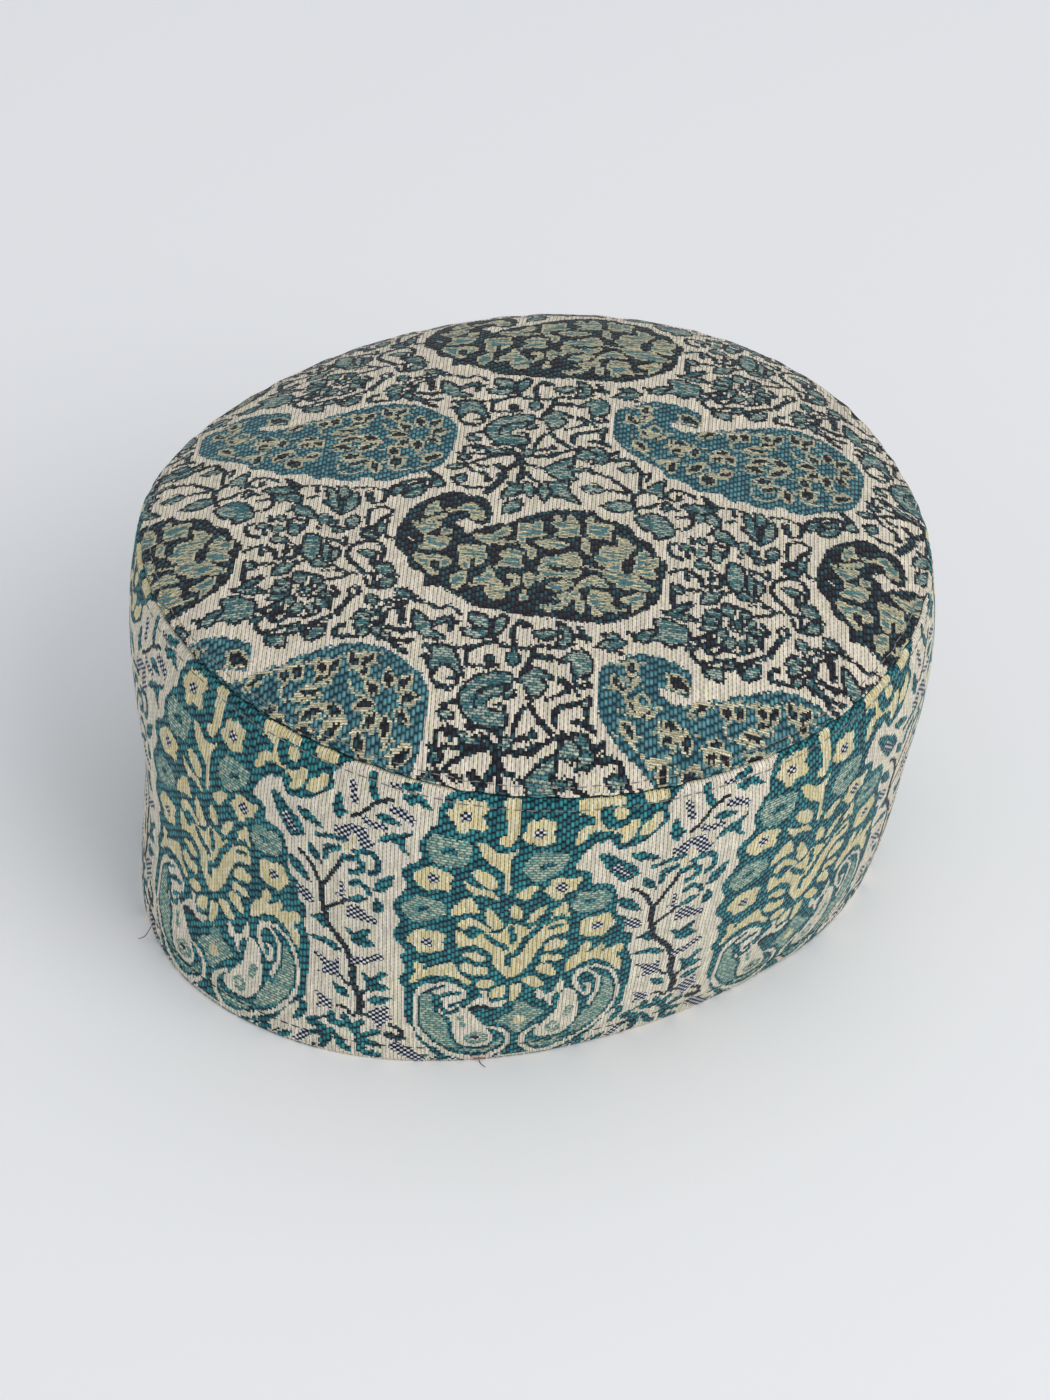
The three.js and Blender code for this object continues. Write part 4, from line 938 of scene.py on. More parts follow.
        [(3.6, 7.6), (5, 5.8), (9, 5.4), (14.6, 7), (12.4, 4.6), (9, 3.2), (6, 3.4), (4, 5)],
    ]),
    (CREAM, [
        [(5, 28.2), (6.6, 27), (8.1, 25.4), (9.5, 26.6), (10.5, 29), (11.6, 31.2), (12, 28), (11.7, 25.8),
         (10.2, 25.6), (9.3, 24), (9.3, 22), (10.2, 20.2), (8.4, 21.6), (7.2, 24), (5.2, 24.6)],
    ]),
]

# the same, for the tree on the cream ground
TREE_PATCHES = [
    (CHECK, [
        [(-52.2, 31.6), (-50.2, 30), (-49, 28.3), (-49.4, 27), (-50.6, 25.8), (-47.6, 26.2), (-44.2, 26.2),
         (-45, 28.2), (-44.8, 31), (-45.5, 32.2), (-46.8, 30.4), (-48.6, 30.8), (-51, 32.3)],
        [(-38, 15.2), (-37.3, 16.8), (-34.8, 18.8), (-31.8, 19.6), (-32.6, 17.4), (-30.6, 15.9),
         (-32.8, 14.4), (-33.8, 12), (-35.2, 11.3), (-35.6, 13.4), (-36.8, 14.6)],
        [(-51.6, 20), (-48.8, 18.8), (-46.8, 17.8), (-46.3, 16.4), (-47.2, 15.2), (-48.8, 15.4),
         (-51, 13.7), (-50.2, 15.6), (-49.8, 17.2)],
        [(-47.2, 74.4), (-45.5, 75.2), (-44, 76.4), (-41.5, 77.4), (-40, 76.8), (-39, 77.4), (-37.9, 76.8),
         (-37.6, 74.8), (-36, 73.4), (-36.2, 72), (-38.6, 70.5), (-39.8, 71.4), (-40.2, 73.6),
         (-41.6, 74.4), (-42.6, 73), (-42.8, 71.4), (-44.6, 70.9), (-45.5, 72.4)],
    ]),
    (YELLOW, [
        [(-42.2, 72.8), (-41.4, 73.8), (-40.6, 73), (-41.4, 70.8), (-43.4, 68.4), (-44, 69.6), (-42.9, 71)],
    ]),
    (CHECK, [
        [(-43.5, 48), (-42.8, 50.6), (-40, 51.4), (-38.3, 50.8), (-38, 49.4), (-36, 49), (-35.2, 46.7),
         (-39.5, 47.1), (-43, 46.9)],
        [(-57, 50.9), (-55.5, 51.6), (-53.5, 51), (-51.7, 48), (-53.5, 47.1), (-55, 48), (-56.2, 49.4)],
    ]),
    (TEAL, [
        [(-38.2, 23.9), (-38, 26), (-39.4, 29.9), (-37.4, 28.8), (-36, 29.3), (-34.5, 30.8), (-32.3, 30.9),
         (-34.3, 28), (-34, 27), (-31.6, 25.6), (-35.5, 24.3), (-36.6, 23.7)],
        [(-43.6, 42.8), (-42, 40.6), (-41.6, 38.6), (-39.5, 37.9), (-36, 38.7), (-36.2, 40), (-37.8, 41.5),
         (-36.8, 44.4), (-40, 43.6), (-40.9, 42.2), (-42, 42.7)],
        [(-53.4, 36.2), (-52, 37.4), (-48, 37.6), (-45.6, 36.6), (-44.2, 34.8), (-46.4, 34.6),
         (-48.6, 35.6)],
        [(-54.4, 42.8), (-52.5, 43.6), (-51, 44.8), (-49.3, 44.8), (-47.7, 41.7), (-49.5, 40.8),
         (-52, 42.6)],
        [(-46.6, 84.4), (-45, 83.5), (-44.8, 81.5), (-43.2, 80), (-44.4, 79), (-45.2, 77.1), (-46.4, 78),
         (-47.6, 80.2), (-47.1, 82.4)],
        [(-35.4, 74.1), (-33.6, 77.2), (-31.5, 77.9), (-27.2, 79.9), (-26.7, 79), (-28.2, 77.4),
         (-28.1, 74.6), (-27.2, 72.9), (-29, 73.6), (-30.4, 75.2), (-33.4, 75)],
        [(-30.2, 89.2), (-27, 90.3), (-24.4, 90), (-22, 87.5), (-24, 87.2), (-26, 87.9), (-28, 87.1)],
        [(-36.1, 50.8), (-35.9, 55), (-35.1, 55.9), (-33.6, 54), (-33.4, 52.2)],
        [(17.9, 76), (19.2, 77.2), (21, 76.6), (24, 74), (26.4, 72.6), (28.7, 69), (27.2, 67.7),
         (24.6, 66.6), (22.6, 68.6), (20, 72), (18.9, 74.4)],
    ]),
]

# label, then the width and the points of each line
BAND_LINES = [
    (TEAL, [
        (1.6, [(-15.6, 40.6), (-14, 43), (-11, 44), (-8.5, 42.7), (-6.8, 40.4)]),
        (1.8, [(-16, 38.6), (-13.5, 39.4), (-10, 38), (-7.5, 38.4), (-6.8, 36.5), (-5, 34.6),
             (-3.6, 32.4)]),
        (1.9, [(-2.4, 37.8), (-2.3, 41), (-0.8, 41.6), (0.8, 45), (2, 48), (4, 50.6), (5.4, 53.4),
             (7, 57)]), (1.8, [(-7.8, 48.4), (-6, 46.2), (-4, 45.2), (-3.2, 44)]),
        (1.7, [(-1.7, 46.6), (-1.7, 49.6), (-2, 52)]), (1.5, [(-2, 54), (0.2, 53.8)]),
        (1.5, [(6.6, 53.6), (9.2, 55.2), (10.4, 56)]), (1.3, [(7.8, 51.6), (10.2, 52.4)]),
        (1.4, [(-13, 49.4), (-11.8, 48), (-10.8, 49)]), (1.3, [(-23.2, 35), (-22, 36.6)]),
        (1.3, [(18, 41), (19.2, 42.6)]), (1.1, [(-22.2, 27), (-20, 28.2), (-18.2, 29)]),
        (1.5, [(-14.4, 26.8), (-17.2, 26.4), (-19.4, 25), (-19, 21.8), (-17.4, 19.4), (-15.4, 19.8),
             (-14.9, 21.3)]), (1.2, [(-16.8, 22), (-14, 23.6), (-11.6, 25.2), (-9.2, 26)]),
    ]),
    (INK, [(1.2, [(-11.6, 20.6), (-9, 22), (-6.2, 20.8)])]),
    (TEAL, [(2.4, [(18.2, 29.8), (19.4, 28.8)])]),
    (GREEN, [
        (1.6, [(-13.6, 14.4), (-14, 17.6)]),
        (1.5, [(-12.6, 9.6), (-10.4, 11.4), (-8, 10.8), (-7.6, 9), (-9.8, 7.8), (-12, 8.4), (-12.6, 9.6)]),
    ]),
    (INK, [(1.1, [(-10.8, 9.8), (-9.6, 9.8)])]),
    (GREEN, [
        (2, [(13.4, 15.8), (14.4, 18.8)]),
        (1.2, [(8.8, 12), (10, 13.4), (11.4, 12), (11.2, 10), (9.4, 9.8), (8.8, 12)]),
    ]),
    (TEAL, [
        (1.6, [(9.8, 22.4), (10.4, 24.8)]), (1.9, [(-19, 76.4), (-16.4, 76.6)]),
        (1.6, [(-24.6, 55.6), (-22.6, 56.2)]), (1.8, [(5, 73.8), (7, 74.6)]),
        (1.6, [(15.8, 60.8), (17.4, 61)]),
    ]),
    (INK, [
        (1.8, [(-39.4, 16.4), (-39.2, 20), (-40.2, 23), (-41.4, 26), (-41.5, 31), (-42.4, 34),
             (-43.6, 37)]),
        (1.7, [(-43.6, 37), (-46, 39.8), (-48.2, 42.6), (-49, 46), (-49.8, 50), (-49.9, 54.4)]),
        (1.3, [(-49.9, 54.4), (-51.2, 57.4), (-52.4, 60.2), (-54, 61.8), (-55.8, 63)]),
        (1.2, [(-49.8, 54.4), (-48.3, 57), (-47, 60), (-45.5, 62.6), (-44.3, 65.4)]),
        (1.1, [(-48.8, 47), (-46.5, 49.3), (-44, 51.5), (-42, 53)]),
        (0.9, [(-41.3, 24.4), (-43, 25), (-44.2, 26.4)]), (1, [(-40, 21), (-38.6, 23), (-37.2, 24.2)]),
        (1.1, [(-37.6, 15.2), (-40, 15.3), (-41.6, 14.8), (-42.3, 16), (-43.6, 16.8), (-45.2, 17)]),
        (1.1, [(-42, 79.5), (-40, 81), (-38.3, 83), (-36.3, 85), (-34, 86.5), (-32, 87.4)]),
        (1.3, [(-31.9, 13.2), (-30, 12.3), (-28.7, 11), (-28.8, 9)]),
        (2.3, [(-32.6, 9.6), (-30.4, 9), (-29, 9)]),
    ]),
    (CHECK, [
        (2.2, [(-41, 32.8), (-38, 33.8), (-34.6, 35.8)]), (2, [(-43, 88), (-42.3, 86.6)]),
        (1.9, [(-42.2, 84.8), (-41.6, 83.6)]), (1.8, [(-38.8, 79.6), (-36.6, 78.6), (-33.6, 79.2)]),
        (2.3, [(-31.8, 84.6), (-29.4, 84.4), (-27.2, 83)]), (1.4, [(-33, 91.2), (-30.6, 90.8)]),
        (1.6, [(-44.4, 57.4), (-44.3, 55.2)]), (1.2, [(-45.6, 53.6), (-43.8, 53.4)]),
        (3.4, [(-30.6, 5.4), (-28, 4), (-25, 1.4)]), (2.2, [(-55, 2), (-53.6, 4.6)]),
    ]),
    (TEAL, [
        (1.8, [(-41, 69), (-38.4, 69.9), (-35.8, 69.7), (-34.9, 67.4), (-35.2, 65), (-36.6, 63.8)]),
        (1.9, [(-43.8, 66.2), (-41, 67), (-39.2, 66.2), (-39, 64.4), (-40.2, 63), (-42, 62.2)]),
        (1.7, [(-42, 58.5), (-40, 59.8), (-38, 58.4), (-37.1, 56.6)]),
        (2.3, [(-38, 92), (-37.6, 88.6), (-36.4, 86.2)]), (1.5, [(-51.4, 70.1), (-48, 71.2), (-44, 71.8)]),
        (1.7, [(-48.6, 64.2), (-48.4, 66.8), (-45, 68.4)]), (1.3, [(-48.8, 68), (-45.2, 68.9)]),
        (2.3, [(-39, 7.4), (-42, 11), (-43.2, 13.4)]), (2, [(-39.2, 7.4), (-40.6, 10.6), (-39, 12.6)]),
        (2, [(-39.4, 7), (-37.4, 8.8), (-35, 10.2)]), (2.2, [(-40, 5.8), (-38, 6.2), (-35, 5.4)]),
        (2.4, [(-39.4, 6.6), (-39, 3), (-35.4, 1.8)]), (2.6, [(-43, 10.8), (-46.6, 11.2), (-46.6, 13.2)]),
        (3, [(-52, 9.4), (-49.4, 8), (-48, 5.6), (-48.6, 3.6)]),
        (2, [(-51.6, 5.4), (-48, 6.6), (-46.4, 7.8)]), (1.1, [(-51, 10.6), (-48.4, 12)]),
        (2.2, [(-45.2, 6), (-44, 3.6), (-42.4, 2.6)]), (2.3, [(-56, 9), (-54.6, 11.2), (-54.2, 13.8)]),
    ]),
    (INK, [(0.9, [(-51.4, 1.4), (-48.4, 2)])]),
    (TEAL, [(2.6, [(-29, 91.8), (-26.4, 92.4)])]),
    (CHECK, [(2, [(22.6, 72), (25.4, 69)])]),
]

# from the foot to the tip, then the width
TREE_LEAVES = [
    (-46.4, 23.9, -42, 20, 2.2), (-37.6, 20.2, -31.4, 22.5, 2.2), (-53.4, 66.6, -49.9, 61.8, 2.3),
    (-57.2, 75.6, -49.6, 72.9, 2.3), (-36.2, 81.8, -29.8, 81.2, 2.2), (-35.8, 58, -30.8, 65, 3),
    (-59.2, 60.4, -53, 54.2, 3.2), (-42.6, 52.8, -37.6, 54.9, 2),
]
FLOWER_EYES = [(-14, 87.3), (-21, 67.2), (-22.6, 44.2), (3.7, 84.1), (9.7, 66.7), (19.2, 51)]
FLOWER_EYE = 1.55
# The hem has a leaf and a chequered dash under the paisleys, at these places along it
HEM_LEAVES = [-7.5, -13, -18.5, -24, 7.5, 13, 18.5, 24]
HEM_LEAF = (-1.9, 0.7, 1.7, 3.0)
HEM_LEAF_WIDTH = 1.7
HEM_DASH = [(2.2, 1.2), (3.6, 2.2)]
HEM_DASH_WIDTH = 1.1


def chart_band():
    chart = Chart(BAND_REPEAT, BAND_RAGGED, np.asarray)
    chart.fill(COLUMN, TEAL)
    for x in HEM_LEAVES:
        foot, low, tip, high = HEM_LEAF
        chart.leaf(x + foot, low, x + tip, high, HEM_LEAF_WIDTH, TEAL, TEAL)
        chart.stroke([(x + across, up) for across, up in HEM_DASH], HEM_DASH_WIDTH, CHECK)
    chart.fill_all(BAND_PATCHES + TREE_PATCHES)
    chart.stroke_all(BAND_LINES)
    for leaf in TREE_LEAVES:
        chart.leaf(*leaf, TEAL, TEAL)
    for x, y in FLOWER_EYES:
        chart.dot(x, y, FLOWER_EYE, CHECK)
    return chart


def packed_blocks(chart, column, row):
    """One number for each block of threads: a label in each octal digit."""
    total = np.zeros(column.shape)
    for place, (across, up) in enumerate([(0, 0), (1, 0), (0, 1), (1, 1)]):
        total += chart.threads(column + across, row + up) * LABELS ** place
    return total


# Meshes

def cloth_mesh(name, places, faces, corner_threads, blocks, reverse):
    """A mesh of cloth, with each corner's thread coordinates and each face's block."""
    mesh = bpy.data.meshes.new(name)
    mesh.vertices.add(len(places))
    mesh.vertices.foreach_set("co", ((places - MIDDLE) * MM).astype(np.float32).ravel())
    mesh.loops.add(4 * len(faces))
    mesh.loops.foreach_set("vertex_index", faces.astype(np.int32).ravel())
    mesh.polygons.add(len(faces))
    mesh.polygons.foreach_set("loop_start", np.arange(0, 4 * len(faces), 4, dtype=np.int32))
    mesh.polygons.foreach_set("loop_total", np.full(len(faces), 4, np.int32))
    mesh.polygons.foreach_set("material_index", reverse.astype(np.int32))
    mesh.update(calc_edges=True)
    uv = mesh.uv_layers.new(name="threads")
    uv.data.foreach_set("uv", corner_threads.astype(np.float32).ravel())
    packed = mesh.attributes.new("blocks", "FLOAT", "FACE")
    packed.data.foreach_set("value", blocks.astype(np.float32))
    mesh.shade_smooth()
    return mesh


def add_piece(name, mesh, slot, *materials):
    for material in materials:
        mesh.materials.append(material)
    piece = bpy.data.objects.new(name, mesh)
    bpy.context.scene.collection.objects.link(piece)
    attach(piece, "root")
    return piece


def quads(rows, columns, closed):
    """The faces of a grid of vertices, whose columns may close into a ring."""
    across = columns if closed else columns - 1
    row, column = np.meshgrid(np.arange(rows - 1), np.arange(across), indexing="ij")
    after = (column + 1) % columns
    near, far = row * columns, (row + 1) * columns
    corners = [near + column, near + after, far + after, far + column]
    return np.stack(corners, -1).reshape(-1, 4), row.ravel(), column.ravel()


def corner_threads(left, low, high):
    """The thread coordinates of the corners of faces that start at a thread."""
    right = left + BLOCK
    across = np.stack([left, right, right, left], -1)
    return np.stack([across, np.stack([low, low, high, high], -1)], -1)


# The band

ARC_STEPS = 1441


def arc_table():
    """Turns, and how far along the middle of the band each lies from the join."""
    turn = np.linspace(-np.pi, np.pi, ARC_STEPS)
    place = band_face(turn, seam_height(turn) / 2)
    steps = np.linalg.norm(np.diff(place, axis=0), axis=1)
    return turn, np.concatenate([[0], np.cumsum(steps)])


def band_section(turn):
    """The cut through the band at each turn, from the hem's inside fold up the
    outer face and down inside, as rows of (height, depth inside the face, thread)."""
    top = seam_height(turn) - SEAM_GAP / 2
    rows = []
    for lift, inset, thread in HEM_FOLD:
        rows.append((lift + 0 * turn, inset, thread))
    for row in range(1, BAND_ROWS):
        z = top * row / BAND_ROWS
        rows.append((z, ROLL_DEPTH * np.exp(-(top - z) / ROLL_REACH), row * BLOCK))
    for drop, inset, thread in SEAM_FOLD:
        rows.append((top - drop, inset, BAND_ROWS * BLOCK + thread))
    low, high = HEM_TURN + INNER_LOW, top - INNER_HIGH
    for share in np.linspace(1, 0, INNER_ROWS):
        thread = (2 - share) * BAND_ROWS * BLOCK + INNER_THREAD
        rows.append((low + (high - low) * share, WALL, thread))
    rows.append((HEM_TURN + 0 * turn, HEM_WALL - HEM_LIP, 2 * BAND_ROWS * BLOCK))
    return rows


def build_band(cloth, reverse):
    chart = chart_band()
    turn_table, arc = arc_table()
    facing = np.interp(VIEW_TURN, turn_table, arc)
    count = BLOCK * round(arc[-1] / chart.step[0] / BLOCK)
    first = BLOCK * round(-facing / chart.step[0] / BLOCK)
    along = np.arange(0, count, BLOCK)
    turn = np.interp(along * arc[-1] / count, arc, turn_table)
    rows = band_section(turn)
    to_join = np.minimum(along, count - along) * arc[-1] / count
    crease = JOIN_DEPTH * np.exp(-(to_join / JOIN_REACH) ** 2)
    places = [at_turn(turn, band_radius(turn, z) - inset - crease, z) for z, inset, _ in rows]
    faces, row, column = quads(len(rows) + 1, len(turn), True)
    faces %= len(rows) * len(turn)
    thread_rows = np.array([thread for *_, thread in rows + rows[:1]], float)
    left, low = first + column * BLOCK, thread_rows[row]
    threads = corner_threads(left, low, thread_rows[row + 1])
    blocks = packed_blocks(chart, left, low.astype(int))
    last_outer = len(HEM_FOLD) + BAND_ROWS - 1 + len(SEAM_FOLD) - 1
    inside = (row >= last_outer) | (row == len(rows) - 1)
    mesh = cloth_mesh("side_cloth", np.concatenate(places), faces, threads, blocks, inside)
    return add_piece("side_cloth", mesh, "band_cloth", cloth, reverse)


# The crown

def crown_plan(s, t):
    """Where a crossing of the crown's threads lies, as a turn and a radius."""
    cloth = np.stack([s * CROWN_STEP[0], t * CROWN_STEP[1]], -1)
    plan = cloth
    for _ in range(DRIFT_ROUNDS):
        plan = plan - crown_cloth(plan) + cloth
    x, y = plan[..., 0] + GRAIN_SKEW * plan[..., 1], plan[..., 1]
    cosine, sine = math.cos(GRAIN_TURN), math.sin(GRAIN_TURN)
    east, north = x * cosine - y * sine, x * sine + y * cosine
    return np.arctan2(east, -north), np.hypot(east, north)


def crown_grid():
    """A grid of crossings wider than the crown: their threads, their turns, and
    their shares of the way to the rim."""
    wide, deep = (BLOCK * round(reach / pitch / BLOCK) for reach, pitch in zip(CROWN_REACH, (WARP, WEFT)))
    s, t = np.meshgrid(np.arange(-wide, wide + 1, BLOCK), np.arange(-deep, deep + 1, BLOCK))
    turn, radius = crown_plan(s, t)
    return s, t, turn, radius / rim_radius(turn) / RIM_SHARE


def crown_inside(turn, share):
    """The inner face, a wall's depth under the outer one."""
    low = share * INNER_SHARE
    under = crown_face(turn, low)
    under[:, 2] -= dome_depth(low)
    return under


def rim_fold(rings):
    """The faces between rings of vertices round the rim, and their corners' threads."""
    around = np.arange(len(rings[0]))
    across = np.stack([around, around, around + 1, around + 1], -1)
    faces, threads = [], []
    for depth, (upper, lower) in enumerate(zip(rings, rings[1:])):
        faces.append(np.stack([upper, lower, np.roll(lower, -1), np.roll(upper, -1)], -1))
        down = np.array([0, 1, 1, 0]) + depth + 0 * across
        threads.append(np.stack([across, down], -1))
    return faces, threads


def build_crown(cloth, reverse):
    chart = chart_crown()
    s, t, turn, share = crown_grid()
    faces, row, column = quads(*s.shape, False)
    used = (share < 1).ravel()[faces].any(1)
    faces, row, column = faces[used], row[used], column[used]
    number, faces = np.unique(faces, return_inverse=True)
    faces = faces.reshape(-1, 4)
    turn, share = turn.ravel()[number], np.minimum(share.ravel()[number], 1)
    outer, inner = crown_face(turn, share * RIM_SHARE), crown_inside(turn, share)
    rim = np.flatnonzero(share == 1)
    rim = rim[np.argsort(turn[rim])]
    ring = turn[rim]
    foot = dome_height(ring, 1) + SEAM_GAP / 2
    loops = [at_turn(ring, rim_radius(ring) - inset, foot + lift) for lift, inset in RIM_FOLD]
    places = np.vstack([outer, *loops, inner])
    to_inner = len(places) - len(inner)
    starts = range(len(outer), to_inner, len(ring))
    rings = [rim, *(start + np.arange(len(ring)) for start in starts), rim + to_inner]
    fold, fold_threads = rim_fold(rings)
    rim_labels = chart.threads(s.ravel()[number][rim], t.ravel()[number][rim])
    fold_blocks = np.tile(rim_labels * sum(LABELS ** place for place in range(4)), len(fold))
    left, front = s[0, 0] + column * BLOCK, t[0, 0] + row * BLOCK
    threads = corner_threads(left, front, front + BLOCK)
    blocks = packed_blocks(chart, left, front)
    all_faces = np.vstack([faces, *fold, faces[:, ::-1] + to_inner])
    all_threads = np.concatenate([threads, *fold_threads, threads[:, ::-1]])
    all_blocks = np.concatenate([blocks, fold_blocks, blocks])
    inside = np.arange(len(all_faces)) >= len(faces) + len(fold_blocks)
    mesh = cloth_mesh("top_cloth", places, all_faces, all_threads, all_blocks, inside)
    return add_piece("top_cloth", mesh, "crown_cloth", cloth, reverse)


# Stitches and loose threads

def crown_edge(turn, inset):
    """A place on the crown's face, so far from its rim."""
    return crown_face(turn, 1 - inset / SEAM_RADIUS)


def off_cloth(face, turn, level, lift):
    """Places lifted straight off a face of the cloth."""
    place = face(turn, level)
    normal = np.cross(face(turn + NUDGE[0], level) - place, face(turn, level + NUDGE[1]) - place)
    normal /= np.linalg.norm(normal, axis=-1, keepdims=True)
    outward = np.sign((normal * (place - [0, 0, BAND_HEIGHT / 2])).sum(-1, keepdims=True))
    return place + normal * outward * np.asarray(lift)[..., None]


def stitch_row(face, level_at):
    """Points along each stitch of a closed row, dipping into the cloth at both ends."""
    turn = np.linspace(0, 2 * np.pi, FINE_STEPS)
    steps = np.linalg.norm(np.diff(face(turn, level_at(turn)), axis=0), axis=1)
    arc = np.concatenate([[0], np.cumsum(steps)])
    count = round(arc[-1] / (STITCH + STITCH_GAP))
    share = np.linspace(0, 1, STITCH_STEPS)
    start = np.arange(count) * arc[-1] / count + chance.uniform(-STITCH_SLIP, STITCH_SLIP, count)
    along = start[:, None] + share * (arc[-1] / count - STITCH_GAP)
    turns = np.interp(along % arc[-1], arc, turn)
    lift = np.tile(THREAD * (STITCH_ARCH * np.sin(np.pi * share) ** 0.5 - STITCH_DIP), (count, 1))
    return off_cloth(face, turns, level_at(turns), lift)


def thread_mesh(name, points, radius):
    """Round threads through points of shape (threads, steps, 3), thinner at their ends."""
    threads, steps = points.shape[:2]
    along = np.gradient(points, axis=1)
    side = np.cross(along, OFF_AXIS)
    side /= np.linalg.norm(side, axis=2, keepdims=True)
    rise = np.cross(side, along)
    rise /= np.linalg.norm(rise, axis=2, keepdims=True)
    angle = np.arange(THREAD_SIDES)[:, None] * 2 * np.pi / THREAD_SIDES
    ring = side[:, :, None] * np.cos(angle) + rise[:, :, None] * np.sin(angle)
    thinner = np.sin(np.pi * np.linspace(TAPER, 1 - TAPER, steps)) ** TAPER_ROUND
    size = radius * (THREAD_END + (1 - THREAD_END) * thinner)
    places = (points[:, :, None] + ring * size[:, None, None]).reshape(-1, 3)
    grid = (np.arange(threads), np.arange(steps - 1), np.arange(THREAD_SIDES))
    thread, step, k = np.meshgrid(*grid, indexing="ij")
    first = (thread * steps + step) * THREAD_SIDES
    after = (k + 1) % THREAD_SIDES
    faces = np.stack([first + k, first + after, first + THREAD_SIDES + after, first + THREAD_SIDES + k], -1)
    mesh = bpy.data.meshes.new(name)
    mesh.from_pydata(((places - MIDDLE) * MM).tolist(), [], faces.reshape(-1, 4).tolist())
    mesh.shade_smooth()
    return mesh


def sew(name, face, level_at, slot, material):
    add_piece(name, thread_mesh(name, stitch_row(face, level_at), THREAD), slot, material)


def smooth_spots(spots):
    """More spots along a curve through the given ones."""
    share, fine = np.linspace(0, 1, len(spots)), np.linspace(0, 1, SPOT_STEPS)
    flat = smooth(np.stack([share, spots[:, 0]], -1), False, LINE_STEPS)
    columns = [np.interp(fine, flat[:, 0], flat[:, 1])]
    columns += [np.interp(fine, share, spots[:, k]) for k in (1, 2)]
    return np.stack(columns, -1)


def loose_thread(name, spots, material):
    """A stray thread through spots of the band."""
    turn_table, arc = arc_table()
    spots = smooth_spots(np.array(spots, float))
    turn = np.interp(spots[:, 0] + np.interp(VIEW_TURN, turn_table, arc), arc, turn_table)
    points = off_cloth(band_face, turn, spots[:, 1], spots[:, 2])
    points[:, 2] = np.maximum(points[:, 2], FLOOR_GAP)
    add_piece(name, thread_mesh(name, points[None], LOOSE_THREAD), "band_cloth", material)


# Materials

class Number:
    """A number that a material's nodes work out. Plain arithmetic adds nodes."""

    def __init__(self, sheet, socket):
        self.sheet = sheet
        self.socket = socket

    def __add__(self, other):
        return self.sheet.math("ADD", self, other)

    def __sub__(self, other):
        return self.sheet.math("SUBTRACT", self, other)

    def __rsub__(self, other):
        return self.sheet.math("SUBTRACT", other, self)

    def __mul__(self, other):
        return self.sheet.math("MULTIPLY", self, other)

    def __truediv__(self, other):
        return self.sheet.math("DIVIDE", self, other)

    def __mod__(self, other):
        return self.sheet.math("FLOORED_MODULO", self, other)

    def __pow__(self, other):
        return self.sheet.math("POWER", self, other)

    def scaled(self, factor, more):
        """This number times a factor, and so much more."""
        return self.sheet.math("MULTIPLY_ADD", self, factor, more)

    def floor(self):
        return self.sheet.math("FLOOR", self)

    def fract(self):
        return self.sheet.math("FRACT", self)


